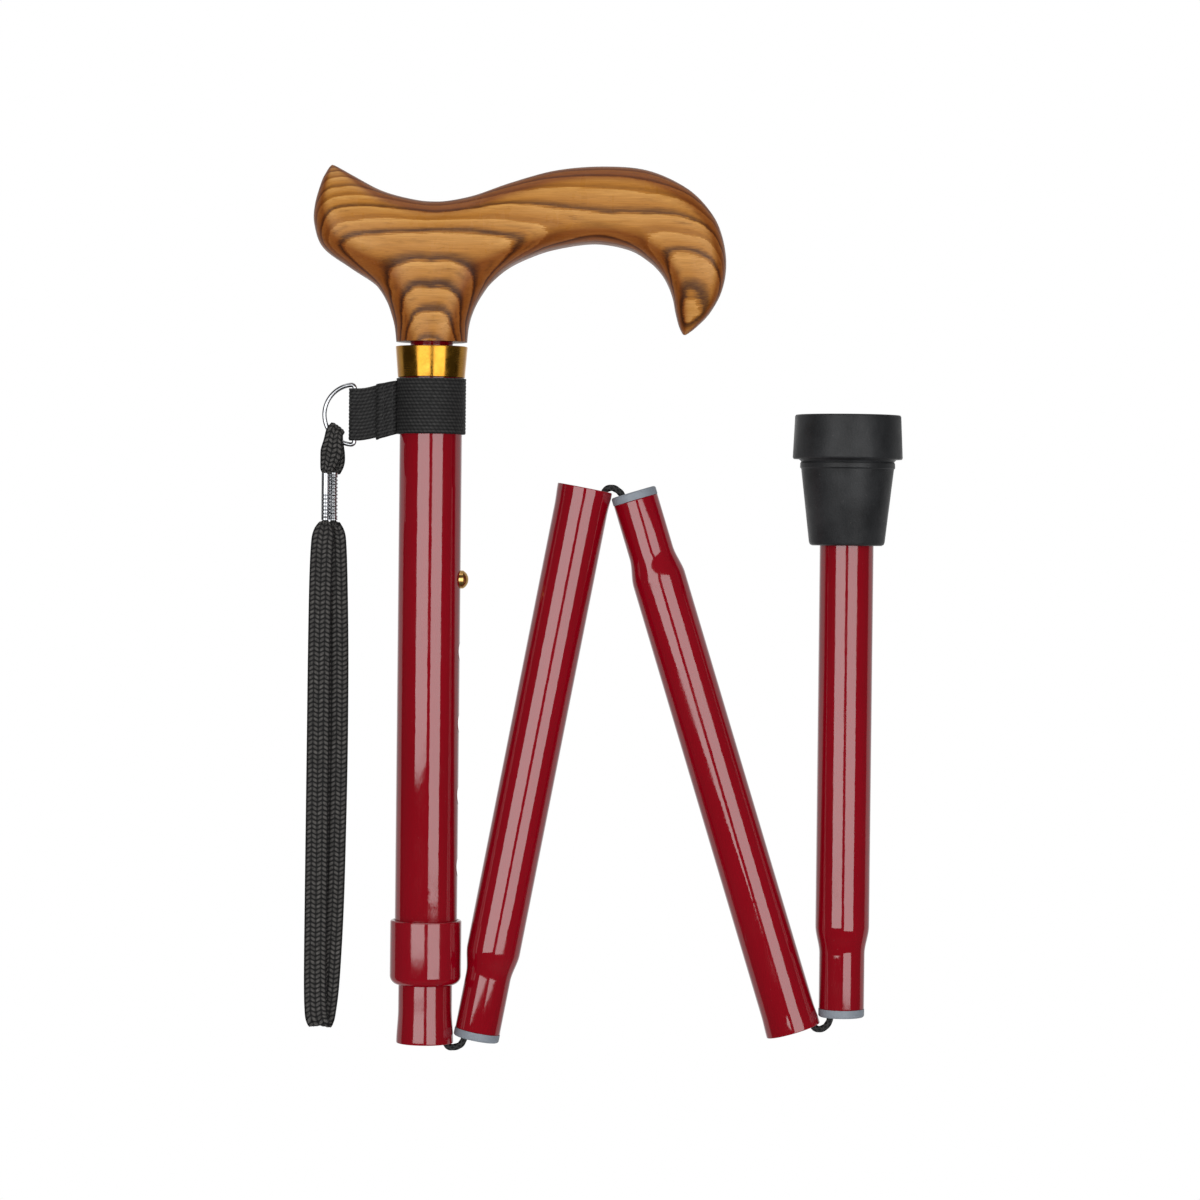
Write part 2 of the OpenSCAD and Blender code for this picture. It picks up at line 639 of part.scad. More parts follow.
// Ferrule: small bevels and edges of the moulded rubber
sole_edge = 0.6;
rim_edge = 0.5;
groove_edge = 0.4;
mouth_edge = 1.2;
washer_gap = 0.2;

module ferrule() color([0.12, 0.12, 0.13]) at_section([ring_3[0], -sole_depth], 180) difference() {
    rotate_extrude() polygon(concat(
        [[0, 0], [sole_d / 2 - sole_edge, 0], [sole_d / 2, sole_edge]],
        [[rim_d / 2, rim_h - rim_edge], [rim_d / 2 - rim_edge, rim_h], [groove_d / 2 + rim_edge, rim_h]],
        [[groove_d / 2 - groove_edge, rim_h + 2 * groove_edge], [groove_d / 2, rim_h + 4 * groove_edge]],
        [[groove_d / 2, rim_h + groove_h - groove_edge], [taper_top_d / 2, rim_h + groove_h]],
        quarter([mouth_d / 2 - mouth_edge, ferrule_h - mouth_edge], mouth_edge, 0, 4),
        [[tube_r + ferrule_gap, ferrule_h], [tube_r + ferrule_gap, sole_t], [0, sole_t]]
    ));
    for (i = [1 : tread_count])
        rotate_extrude() translate([i * sole_d / 2 / (tread_count + 1) - tread_w / 2, -over])
            square([tread_w, tread_depth + over]);
}

module ferrule_washer() color([0.6, 0.6, 0.62])
    translate([ring_3[0], 0, tip_z]) cylinder(r = tube_r - washer_gap, h = washer_t);

// Strap band: a webbing loop round the tube, sewn into a tab that holds the ring's bar
band_r = upper_r + band_clearance;
band_bottom_z = band_top_z - band_h;
bar_z = (band_top_z + band_bottom_z) / 2 - tab_drop;
tab_bottom = bar_z - tab_h / 2;
tab_top = bar_z + tab_h / 2;
tunnel_r = wire_r + wire_clearance;
loop_r = tunnel_r + web_t;
flap_x = -12.2;
flap_w = 5;
loop_taper = 5;
tab_set = 0.8;

module strap_band() color([0.07, 0.07, 0.08]) difference() {
    union() {
        translate([0, 0, band_bottom_z]) cylinder(r = band_r + web_t, h = band_h);
        intersection() {
            translate([0, 0, band_bottom_z - band_h]) linear_extrude(3 * band_h) {
                translate([-bar_reach, 0]) circle(r = loop_r);
                polygon([
                    [-bar_reach, loop_r], [-bar_reach, -loop_r], [-bar_reach + loop_taper, -web_t],
                    [-band_r, -web_t], [-band_r, web_t], [-bar_reach + loop_taper, web_t]
                ]);
                translate([flap_x - flap_w, -2 * web_t]) square([flap_w, 2 * web_t]);
            }
            translate([0, band_r, 0]) rotate([90, 0, 0]) linear_extrude(2 * band_r) polygon([
                [-bar_reach - loop_r - over, tab_bottom], [-bar_reach - loop_r - over, tab_top],
                [-bar_reach + loop_taper, tab_top], [-band_r, band_top_z - tab_set], [-band_r, band_bottom_z],
                [flap_x - flap_w, tab_bottom]
            ]);
        }
    }
    translate([0, 0, band_bottom_z - over]) cylinder(r = band_r, h = band_h + 2 * over);
    translate([-bar_reach, 0, tab_bottom - over]) cylinder(r = tunnel_r, h = tab_h + 2 * over);
}

module strap_ring() color([0.8, 0.8, 0.82]) translate([-bar_reach, 0, bar_z]) {
    translate([0, 0, -bow_r]) cylinder(r = wire_r, h = 2 * bow_r);
    for (end = [-1, 1]) translate([0, 0, end * bow_r]) sphere(r = wire_r);
    rotate([90, 90, 0]) rotate_extrude(angle = -180) translate([bow_r, 0]) circle(r = wire_r);
}

// The strap hangs over the ring's wire at this angle below the level
hang_angle = 45;
hang = [-bar_reach - bow_r * cos(hang_angle), bar_z - bow_r * sin(hang_angle)];

// Crimp with two lobes, ribs rolled into the right one
lobe_r = lobe_d / 2;
lobe_step = lobe_d - lobe_wall / 2;
crimp_x = hang[0] - 1;
crimp_top_z = hang[1] - crimp_drop;
crimp_bottom_z = crimp_top_z - crimp_h;
rib_r = 0.3;

module strap_crimp() color([0.85, 0.85, 0.87]) difference() {
    union() {
        for (side = [-1, 1]) translate([crimp_x + side * lobe_step / 2, 0, crimp_bottom_z])
            cylinder(r = lobe_r, h = crimp_h);
        for (i = [1 : crimp_ribs])
            translate([crimp_x + lobe_step / 2, 0, crimp_bottom_z + crimp_h * i / (crimp_ribs + 1)])
                rotate_extrude() translate([lobe_r - rib_r / 2, 0]) circle(r = rib_r, $fn = 16);
    }
    for (side = [-1, 1]) translate([crimp_x + side * lobe_step / 2, 0, crimp_bottom_z - over])
        cylinder(r = lobe_r - lobe_wall, h = crimp_h + 2 * over);
}

// Wrist strap: one flat braid from the crimp down, round, up through the crimp, over the
// ring and back. Below the crimp: x off the crimp's middle, y, share of the loop's drop,
// share of the full width
loop_stations = [
    [-1.7, -0.5, 0.021, 0.40],
    [-2.4, -1.2, 0.054, 0.85],
    [-2.8, -1.25, 0.133, 0.98],
    [-3.0, -1.25, 0.268, 1],
    [-3.1, -1.25, 0.436, 1],
    [-3.2, -1.25, 0.605, 1],
    [-3.3, -1.25, 0.773, 1],
    [-3.3, -1.3, 0.914, 1],
    [-2.9, -1.5, 0.975, 1],
    [-2.2, -1.1, 0.993, 1],
    [-1.5, 0, 1, 1],
    [-0.8, 1.1, 0.993, 1],
    [-0.1, 1.5, 0.975, 1],
    [1.1, 1.3, 0.914, 1],
    [2.3, 1.25, 0.773, 1],
    [2.9, 1.25, 0.605, 1],
    [3.2, 1.25, 0.436, 1],
    [3.1, 1.25, 0.268, 1],
    [2.6, 1.25, 0.133, 0.98],
    [1.9, 1.2, 0.054, 0.85],
    [1.5, 0.5, 0.021, 0.40]
];
// Over the ring: x off the wire, y, z off the wire, share of the full width, tilt
ring_stations = [
    [0.8, 1.0, -10.4, 0.43, 12],
    [1.1, 2.5, -7.0, 0.82, 28],
    [0.6, 3.0, -3.6, 0.79, 40],
    [0, 2.9, 0, 0.72, 45],
    [1.5, 2.05, 1.4, 0.72, 45],
    [2.1, 0, 2.1, 0.72, 45],
    [1.5, -2.05, 1.4, 0.72, 45],
    [0, -2.9, 0, 0.72, 45],
    [0.2, -3.0, -3.6, 0.85, 40],
    [-0.4, -2.5, -7.0, 0.88, 28],
    [-1.4, -1.0, -10.4, 0.49, 12]
];
// Gathered in the crimp the braid is a round bundle, and half spread it is at its thickest
bundle = 2;
bulge = 0.25;
// The braid's two ends nearly meet inside the crimp
end_drop = 9.2;
end_gap = 0.2;

function braid_w(share) = bundle + (strap_w - bundle) * share;
function braid_t(share) = bundle + (strap_t - bundle) * share + 4 * bulge * share * (1 - share);
function braid_at(x, y, z, share, tilt) = [x, y, z, braid_w(share), braid_t(share), tilt];

left_x = crimp_x - lobe_step / 2;
right_x = crimp_x + lobe_step / 2;
end_z = crimp_top_z - end_drop;
strap_route = concat(
    [braid_at(left_x, 0, end_z - end_gap, 0, 0), braid_at(left_x, 0, crimp_bottom_z, 0, 0)],
    [for (s = loop_stations) braid_at(crimp_x + s[0], s[1], crimp_bottom_z - loop_drop * s[2], s[3], 0)],
    [braid_at(right_x, 0, crimp_bottom_z, 0, 0), braid_at(right_x, 0, crimp_top_z, 0, 0)],
    [for (s = ring_stations) braid_at(hang[0] + s[0], s[1], hang[1] + s[2], s[3], s[4])],
    [braid_at(left_x, 0, crimp_top_z, 0, 0), braid_at(left_x, 0, end_z, 0, 0)]
);
strap_sides = 10;

function unit(v) = v / norm(v);
function strap_ring_at(p, i) =
    let(
        a = p[max(i - 1, 0)],
        b = p[min(i + 1, len(p) - 1)],
        t = unit([for (k = [0 : 2]) b[k] - a[k]]),
        wide = [cos(p[i][5]), 0, -sin(p[i][5])],
        thin = unit(cross(t, wide)),
        broad = cross(thin, t)
    ) [
        for (j = [0 : strap_sides - 1])
            let(w = 360 * (j + 0.5) / strap_sides)
                [p[i][0], p[i][1], p[i][2]]
                + broad * p[i][3] / 2 * power(cos(w), 3) + thin * p[i][4] / 2 * power(sin(w), 3)
    ];
module wrist_strap() color([0.07, 0.07, 0.08])
    loft([for (i = [0 : len(strap_route) - 1]) strap_ring_at(strap_route, i)]);

handle();
handle_collar();
upper_tube();
lock_collar();
lock_bush();
inner_tube();
snap_button();
button_spring();
second_tube();
third_tube();
tip_tube();
end_ring_1();
end_ring_2();
end_ring_3();
anchor_top();
knot_top();
anchor_tip();
knot_tip();
cord_run_1();
cord_run_2();
cord_run_3();
cord_run_4();
cord_bend_1();
cord_bend_2();
cord_bend_3();
ferrule();
ferrule_washer();
strap_band();
strap_ring();
strap_crimp();
wrist_strap();
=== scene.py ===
"""The look of a half folded walking cane: wood, red tubes, rubber, webbing and braid, in a plain studio."""

import math

import bpy
import numpy as np
from mathutils import Matrix, Vector


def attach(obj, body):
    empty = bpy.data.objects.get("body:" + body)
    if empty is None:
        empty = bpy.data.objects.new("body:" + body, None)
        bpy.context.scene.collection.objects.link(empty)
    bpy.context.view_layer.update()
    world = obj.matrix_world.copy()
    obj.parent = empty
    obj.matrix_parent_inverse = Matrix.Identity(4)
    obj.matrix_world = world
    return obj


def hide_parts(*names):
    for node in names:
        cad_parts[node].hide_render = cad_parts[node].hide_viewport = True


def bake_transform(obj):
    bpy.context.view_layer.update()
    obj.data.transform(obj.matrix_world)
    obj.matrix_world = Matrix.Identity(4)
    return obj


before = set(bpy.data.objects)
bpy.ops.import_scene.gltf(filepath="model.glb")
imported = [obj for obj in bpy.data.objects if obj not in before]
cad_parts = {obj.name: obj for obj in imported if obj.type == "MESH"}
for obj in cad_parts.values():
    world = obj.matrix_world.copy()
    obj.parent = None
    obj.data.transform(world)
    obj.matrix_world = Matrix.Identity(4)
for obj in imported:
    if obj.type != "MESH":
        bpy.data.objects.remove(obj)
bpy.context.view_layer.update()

MM = 0.001

# Sizes in millimetres, as in the construction
UPPER_R = 11.0
UPPER_BORE = UPPER_R - 1.4
SHOULDER_R = 2.5
SECTION_WALL = 1.3
TUBE_R = UPPER_BORE - 0.1
SOCKET_R = TUBE_R - SECTION_WALL
SPIGOT_R = SOCKET_R - 0.2
SECTION_LENGTH = 198.5
SPIGOT_LENGTH = 22.3
TAPER_LENGTH = 10.0
SOCKET_FLARE, SOCKET_FLARE_LENGTH = 0.3, 8.0
SLIDE_FLARE, SLIDE_FLARE_LENGTH = 0.6, 12.0
SECOND_LEAN = 10.6
THIRD_LEAN = 180.0 - 17.2
RIM_GAP = 0.3
HOLE_COUNT = 5
HOLE_PITCH = 25.4
HOLE_R = 3.3
BUTTON_PROUD = 2.8
LIP_R = SPIGOT_R + 0.1
LIP_EDGE = 0.8
LIP_HEIGHT = 2.9
RING_BORE = 5.4
CORD_R = 1.2
PLUG_HEIGHT = 9.0
CORD_LEAD = 2.0
NECK_R = 7.5
NECK_BORE = NECK_R + 0.05
NECK_INSERT = 21.0
FOOT_R = 12.5
LOCK_R = 12.6
FERRULE_HEIGHT = 46.0
SOLE_R = 18.7
TREAD_COUNT, TREAD_DEPTH = 3, 1.6
ON_AXIS = 0.001
BAND_H = 19.6
BAND_R = 11.1
WIRE_R = 0.8
BOW_R = 10.6

# Heights on the first section, from the palm down
FOOT_Z = -49.2
COLLAR_TOP_Z = FOOT_Z - 1.6
COLLAR_BOTTOM_Z = COLLAR_TOP_Z - 11.0
SHOULDER_Z = COLLAR_BOTTOM_Z + 7.0
BAND_TOP_Z = COLLAR_BOTTOM_Z - 0.3
LOCK_TOP_Z = -253.2
LOCK_BOTTOM_Z = LOCK_TOP_Z - 22.8
UPPER_END_Z = LOCK_TOP_Z - 9.0
BUTTON_Z = LOCK_TOP_Z + 18.8 + (HOLE_COUNT - 1) * HOLE_PITCH
SLIDE_TOP_Z = BUTTON_Z + 32.8
SLIDE_END_Z = LOCK_BOTTOM_Z - 20.6
TOP_PLUG_Z = BUTTON_Z - 24.0
BAR_X, BAR_Z = -27.0, -75.1


def ease(t):
    u = min(max(t, 0.0), 1.0)
    return u * u * (3 - 2 * u)


def along(lean):
    """The direction of a section's axis in the XZ plane."""
    a = math.radians(lean)
    return np.array((math.sin(a), math.cos(a)))


def across(lean):
    """The direction square to a section's axis in the XZ plane."""
    a = math.radians(lean)
    return np.array((math.cos(a), -math.sin(a)))


def mouth_side(height, flare, flare_length):
    """How far the middle of a ring's rounded lip lies from the axis of the mouth it leans on."""
    return TUBE_R + flare * ease(1 - height / flare_length) + RIM_GAP + LIP_EDGE


# Places of the three end rings: each leans on the mouth before it, this far along that mouth
OFFSET_1, OFFSET_2, OFFSET_3 = 3.6, 2.2, 2.7
LIP_RUN = LIP_R - LIP_EDGE
SLIDE_END = np.array((0.0, SLIDE_END_Z))
RING_1 = (
    SLIDE_END + mouth_side(OFFSET_1, SLIDE_FLARE, SLIDE_FLARE_LENGTH) * across(0.0) + OFFSET_1 * along(0.0)
    + LIP_RUN * across(SECOND_LEAN) - LIP_EDGE * along(SECOND_LEAN)
)
SECOND_END = RING_1 + SECTION_LENGTH * along(SECOND_LEAN)
RING_2 = (
    SECOND_END + mouth_side(OFFSET_2, SOCKET_FLARE, SOCKET_FLARE_LENGTH) * across(SECOND_LEAN)
    - OFFSET_2 * along(SECOND_LEAN) - LIP_RUN * across(THIRD_LEAN) - LIP_EDGE * along(THIRD_LEAN)
)
THIRD_END = RING_2 + SECTION_LENGTH * along(THIRD_LEAN)
RING_3 = (
    THIRD_END - mouth_side(OFFSET_3, SOCKET_FLARE, SOCKET_FLARE_LENGTH) * across(THIRD_LEAN)
    - OFFSET_3 * along(THIRD_LEAN) + LIP_RUN * across(0.0) - LIP_EDGE * along(0.0)
)
SECTIONS = ((RING_1, SECOND_LEAN, "second"), (RING_2, THIRD_LEAN, "third"), (RING_3, 0.0, "tip"))
SOLE_Z = -73.4
SOLE_THICKNESS = 8.0
TIP_Z = SOLE_Z - SOLE_THICKNESS - 1.0
TIP_LENGTH = TIP_Z - RING_3[1]
TIP_PLUG_Z = TIP_Z - 17.0


# Node trees


class Graph:
    """Short calls for building a node tree."""

    def __init__(self, tree):
        self.tree = tree

    def add(self, kind, inputs=None, **settings):
        name = kind if kind.startswith("NodeGroup") else "ShaderNode" + kind
        node = self.tree.nodes.new(name)
        for key, value in settings.items():
            setattr(node, key, value)
        for key, value in (inputs or {}).items():
            self.put(node.inputs[key], value)
        return node

    def put(self, socket, value):
        if isinstance(value, bpy.types.NodeSocket):
            self.tree.links.new(value, socket)
        elif socket.type == "RGBA" and len(value) == 3:
            socket.default_value = (*value, 1.0)
        else:
            socket.default_value = value

    def math(self, operation, a, b=0.0, clamp=False):
        node = self.add("Math", {0: a, 1: b}, operation=operation, use_clamp=clamp)
        return node.outputs[0]

    def span(self, value, low, high, to_low=0.0, to_high=1.0, smooth=False):
        node = self.add("MapRange", {0: value, 1: low, 2: high, 3: to_low, 4: to_high})
        node.interpolation_type = "SMOOTHSTEP" if smooth else "LINEAR"
        return node.outputs[0]

    def mix(self, factor, a, b, blend="MIX"):
        node = self.add("Mix", {0: factor, 6: a, 7: b}, data_type="RGBA", blend_type=blend)
        return node.outputs[2]

    def curve(self, value, points):
        """A value read off straight lines through points in the unit square."""
        node = self.add("FloatCurve", {"Factor": 1.0, "Value": value})
        line = node.mapping.curves[0]
        while len(line.points) < len(points):
            line.points.new(0.5, 0.5)
        for point, (x, y) in zip(line.points, points):
            point.location = (x, y)
            point.handle_type = "VECTOR"
        node.mapping.update()
        return node.outputs[0]

    def noise(self, vector, scale, detail=2.0, roughness=0.5, distortion=0.0):
        node = self.add("TexNoise", {"Vector": vector, "Scale": scale, "Detail": detail})
        self.put(node.inputs["Roughness"], roughness)
        self.put(node.inputs["Distortion"], distortion)
        return node.outputs[0]

    def stretch(self, vector, scale):
        return self.add("VectorMath", {0: vector, 1: scale}, operation="MULTIPLY").outputs[0]

    def bump(self, height, distance):
        return self.add("Bump", {"Height": height, "Distance": distance}).outputs[0]

    def place(self):
        """The place on the object in millimetres."""
        return self.stretch(self.add("TexCoord").outputs["Object"], (1 / MM, 1 / MM, 1 / MM))

    def smudge(self, place, frequency):
        """Clouds left by hands, with long wiped streaks in them."""
        cloud = self.noise(place, frequency, 3.0, 0.55, 0.4)
        wipe = self.noise(self.stretch(place, (0.35, 0.35, 0.12)), 0.8, 2.0, 0.6)
        return self.span(self.math("ADD", cloud, self.math("MULTIPLY", wipe, 0.4)), 0.58, 0.86, smooth=True)


def make_group(name, inputs, outputs):
    """A shader node group with named inputs and outputs, its graph, and its two ends."""
    tree = bpy.data.node_groups.new(name, "ShaderNodeTree")
    for label, kind, value in inputs:
        socket = tree.interface.new_socket(label, in_out="INPUT", socket_type="NodeSocket" + kind)
        if value is not None:
            socket.default_value = value
    for label, kind in outputs:
        tree.interface.new_socket(label, in_out="OUTPUT", socket_type="NodeSocket" + kind)
    graph = Graph(tree)
    return graph, graph.add("NodeGroupInput").outputs, graph.add("NodeGroupOutput").inputs


def use_group(graph, name, inputs=None):
    node = graph.add("Group")
    node.node_tree = bpy.data.node_groups[name]
    for key, value in (inputs or {}).items():
        graph.put(node.inputs[key], value)
    return node.outputs


def build_handling_marks():
    """Faint smudges and sparse dust specks left by handling."""
    g, i, out = make_group(
        "Handling Marks",
        [("Place", "Vector", None), ("Size", "Float", 12.0), ("Dust", "Float", 0.5)],
        [("Smudge", "Float"), ("Specks", "Float")],
    )
    g.put(out["Smudge"], g.smudge(i["Place"], g.math("DIVIDE", 1.0, i["Size"])))
    cells = g.add("TexVoronoi", {"Vector": i["Place"], "Scale": 0.42, "Randomness": 1.0})
    near = g.span(cells.outputs["Distance"], 0.05, 0.025)
    chosen = g.span(g.noise(i["Place"], 0.21, 1.0), 0.62, 0.56)
    g.put(out["Specks"], g.math("MULTIPLY", g.math("MULTIPLY", near, chosen), i["Dust"], clamp=True))


def build_moulded_skin():
    """Moulded or cast skin: fine pebble with slow waves under it."""
    g, i, out = make_group(
        "Moulded Skin",
        [("Place", "Vector", None), ("Pebble", "Float", 0.4), ("Depth", "Float", 0.03)],
        [("Shade", "Float"), ("Normal", "Vector")],
    )
    pebble = g.noise(i["Place"], g.math("DIVIDE", 1.0, i["Pebble"]), 3.0, 0.6)
    waves = g.noise(i["Place"], 0.09, 2.0, 0.5)
    height = g.math("ADD", pebble, g.math("MULTIPLY", waves, 1.5))
    g.put(out["Shade"], g.span(g.math("ADD", g.math("MULTIPLY", pebble, 0.5), waves), 0.5, 1.0))
    g.put(out["Normal"], g.bump(height, g.math("MULTIPLY", i["Depth"], MM)))


def build_polish_lines():
    """Drawn or polished metal: hair lines along one direction."""
    g, i, out = make_group(
        "Polish Lines",
        [("Place", "Vector", None), ("Stretch", "Vector", (1.0, 1.0, 1.0)), ("Depth", "Float", 0.004)],
        [("Lines", "Float"), ("Normal", "Vector")],
    )
    lines = g.noise(g.stretch(i["Place"], i["Stretch"]), 1.0, 4.0, 0.65)
    g.put(out["Lines"], g.span(lines, 0.3, 0.7))
    g.put(out["Normal"], g.bump(lines, g.math("MULTIPLY", i["Depth"], MM)))


def build_yarn_fibres():
    """Yarn: fine fibres over slow clumps."""
    g, i, out = make_group(
        "Yarn Fibres",
        [("Place", "Vector", None), ("Fuzz", "Float", 0.05)],
        [("Shade", "Float"), ("Normal", "Vector")],
    )
    fibres = g.noise(g.stretch(i["Place"], (9.0, 9.0, 4.0)), 1.0, 3.0, 0.7)
    clumps = g.noise(i["Place"], 0.8, 2.0, 0.6)
    shade = g.math("ADD", g.math("MULTIPLY", fibres, 0.6), g.math("MULTIPLY", clumps, 0.4))
    g.put(out["Shade"], g.span(shade, 0.3, 0.7))
    g.put(out["Normal"], g.bump(fibres, g.math("MULTIPLY", i["Fuzz"], MM)))


def new_material(name):
    material = bpy.data.materials.new(name)
    material.use_nodes = True
    material.node_tree.nodes.clear()
    graph = Graph(material.node_tree)
    shader = graph.add("BsdfPrincipled")
    end = graph.add("OutputMaterial")
    graph.put(end.inputs["Surface"], shader.outputs[0])
    return material, graph, shader.inputs


# Levels of the wood's dark layer lines, in millimetres, and how dark each one is
LAYERS = [
    (-26.0, 0.8), (-23.0, 0.9), (-20.0, 0.7), (-16.8, 0.9), (-13.6, 0.6), (-10.4, 1.0), (-7.3, 0.7),
    (-4.0, 0.6), (-1.0, 0.5), (2.2, 0.6), (5.4, 0.35), (8.9, 0.6), (11.8, 0.3), (14.9, 0.8), (17.1, 0.15),
    (19.3, 0.9), (23.0, 0.9), (26.1, 0.95), (28.4, 0.9), (31.5, 0.8), (34.5, 0.9), (37.5, 0.8),
]
LAYER_LOW = LAYERS[0][0]
LAYER_SPAN = LAYERS[-1][0] - LAYER_LOW
WOOD_SMUDGE, PAINT_SMUDGE = 14.0, 18.0


def wood_material():
    """Lacquered zebra wood: tilted light and dark layers, fibres and pores along the grip, and painted shade on
    the flanks.
    """
    material, g, s = new_material("lacquered_zebra_wood")
    place = g.place()
    axes = g.add("SeparateXYZ", {0: place}).outputs
    slow = g.noise(g.stretch(place, (0.014, 0.06, 0.06)), 1.0, 2.0, 0.5)
    waver = g.noise(g.stretch(place, (0.05, 0.3, 0.3)), 1.0, 3.0, 0.6)
    fray = g.noise(g.stretch(place, (0.07, 2.4, 2.4)), 1.0, 4.0, 0.7)
    drift = g.math("MULTIPLY", g.math("SUBTRACT", slow, 0.5), 2.2)
    drift = g.math("ADD", drift, g.math("MULTIPLY", g.math("SUBTRACT", waver, 0.5), 0.9))
    drift = g.math("ADD", drift, g.math("MULTIPLY", g.math("SUBTRACT", fray, 0.5), 0.9))
    tilted = g.math("MULTIPLY", g.math("ADD", axes["Y"], g.math("MULTIPLY", axes["Z"], 0.4)), -1.0)
    level = g.span(g.math("ADD", tilted, drift), LAYER_LOW, LAYER_LOW + LAYER_SPAN)
    last = len(LAYERS) - 1
    count = g.curve(level, [((z - LAYER_LOW) / LAYER_SPAN, k / last) for k, (z, _) in enumerate(LAYERS)])
    strength = g.curve(level, [((z - LAYER_LOW) / LAYER_SPAN, dark) for z, dark in LAYERS])
    phase = g.math("FRACT", g.math("ADD", g.math("MULTIPLY", count, float(last)), 0.87))
    dark = g.math("MULTIPLY", g.span(phase, 0.53, 0.86, smooth=True), g.span(phase, 1.0, 0.86, smooth=True))
    soft = g.math("MULTIPLY", g.span(phase, 0.2, 0.34, smooth=True), g.span(phase, 0.5, 0.36, smooth=True))
    soft = g.math("MULTIPLY", soft, g.span(waver, 0.5, 0.7, 0.0, 0.45))
    dark = g.math("MAXIMUM", g.math("MULTIPLY", dark, strength), soft)

    fibre = g.noise(g.stretch(place, (0.12, 2.6, 2.6)), 1.0, 4.0, 0.7)
    silk = g.noise(g.stretch(place, (0.03, 0.6, 0.6)), 1.0, 3.0, 0.6)
    cells = g.add("TexVoronoi", {"Vector": g.stretch(place, (0.16, 2.2, 2.2)), "Scale": 1.0})
    pores = g.math("MULTIPLY", g.span(cells.outputs["Distance"], 0.22, 0.1), g.span(silk, 0.4, 0.6))

    light = g.mix(g.span(silk, 0.3, 0.7), (0.74, 0.385, 0.110), (0.60, 0.280, 0.062))
    light = g.mix(g.span(phase, 0.0, 0.7), light, (0.47, 0.185, 0.026))
    light = g.mix(g.math("MULTIPLY", g.span(fibre, 0.35, 0.7), 0.38), light, (0.28, 0.10, 0.016))
    frayed = g.math("MULTIPLY", dark, g.span(fibre, 0.25, 0.55, 0.7, 1.0), clamp=True)
    colour = g.mix(g.math("MULTIPLY", frayed, 0.96), light, (0.042, 0.013, 0.007))
    colour = g.mix(g.math("MULTIPLY", pores, 0.4), colour, (0.06, 0.02, 0.009))
    # Painted shade: where the face value falls from 1, round the grip's outline, the colour is multiplied
    # towards dark orange-brown
    face = g.add("Attribute", attribute_name="face").outputs["Fac"]
    painted_flank_shade = g.math("MULTIPLY", g.span(face, 0.97, 0.80, smooth=True), 0.9)
    colour = g.mix(painted_flank_shade, colour, (0.44, 0.25, 0.12), "MULTIPLY")
    marks = use_group(g, "Handling Marks", {"Place": place, "Size": WOOD_SMUDGE, "Dust": 0.3})
    g.put(s["Base Color"], g.mix(g.math("MULTIPLY", marks["Specks"], 0.3), colour, (0.5, 0.42, 0.34)))
    raised = g.math("MULTIPLY", fibre, 0.3)
    g.put(s["Roughness"], g.span(g.math("ADD", raised, marks["Smudge"]), 0.0, 1.3, 0.4, 0.55))
    g.put(s["Normal"], g.bump(g.math("SUBTRACT", raised, pores), 0.02 * MM))
    s["Specular IOR Level"].default_value = 0.1
    s["Coat Weight"].default_value = 0.28
    g.put(s["Coat Roughness"], g.span(g.smudge(place, 1 / WOOD_SMUDGE), 0.0, 1.0, 0.27, 0.33))
    g.put(s["Coat Normal"], g.bump(g.noise(place, 0.16), 0.05 * MM))
    return material


def lacquer_material(name, colour, deep, coat_roughness):
    """Deep gloss paint over metal: fine flake, orange peel, wiped dust and hairline scuffs."""
    material, g, s = new_material(name)
    place = g.place()
    flake = g.noise(place, 7.0, 2.0, 0.6)
    cloud = g.noise(g.stretch(place, (0.05, 0.05, 0.012)), 1.0, 2.0, 0.5)
    marks = use_group(g, "Handling Marks", {"Place": place, "Size": PAINT_SMUDGE, "Dust": 0.5})
    tone = g.math("ADD", g.math("MULTIPLY", flake, 0.35), g.math("MULTIPLY", cloud, 0.65))
    paint = g.mix(g.span(tone, 0.3, 0.7), deep, colour)
    g.put(s["Base Color"], g.mix(g.math("MULTIPLY", marks["Specks"], 0.35), paint, (0.55, 0.42, 0.42)))
    scuffs = use_group(g, "Polish Lines", {"Place": place, "Stretch": (3.0, 3.0, 0.08), "Depth": 0.0015})
    g.put(s["Roughness"], g.span(g.math("ADD", flake, marks["Smudge"]), 0.3, 1.6, 0.42, 0.56))
    g.put(s["Normal"], scuffs["Normal"])
    s["Specular IOR Level"].default_value = 0.0
    s["Coat Weight"].default_value = 1.0
    s["Coat IOR"].default_value = 1.75
    smudge = g.smudge(place, 1 / PAINT_SMUDGE)
    g.put(s["Coat Roughness"], g.span(smudge, 0.0, 1.0, coat_roughness, coat_roughness + 0.07))
    g.put(s["Coat Normal"], g.bump(g.noise(g.stretch(place, (0.35, 0.35, 0.18)), 1.0), 0.028 * MM))
    return material


def metal_material(name, colour, tint, roughness, stretch, depth):
    """Polished or drawn metal with hair lines, tarnish clouds and finger marks."""
    material, g, s = new_material(name)
    place = g.place()
    polish = use_group(g, "Polish Lines", {"Place": place, "Stretch": stretch, "Depth": depth})
    marks = use_group(g, "Handling Marks", {"Place": place, "Size": 6.0, "Dust": 0.4})
    tarnish = g.noise(place, 0.22, 3.0, 0.6)
    metal = g.mix(g.span(tarnish, 0.35, 0.7), colour, tint)
    g.put(s["Base Color"], g.mix(g.math("MULTIPLY", marks["Specks"], 0.4), metal, (0.3, 0.28, 0.26)))
    s["Metallic"].default_value = 1.0
    rough = g.math("ADD", g.math("MULTIPLY", polish["Lines"], 0.08), g.math("MULTIPLY", marks["Smudge"], 0.1))
    g.put(s["Roughness"], g.math("ADD", rough, roughness))
    g.put(s["Normal"], polish["Normal"])
    return material


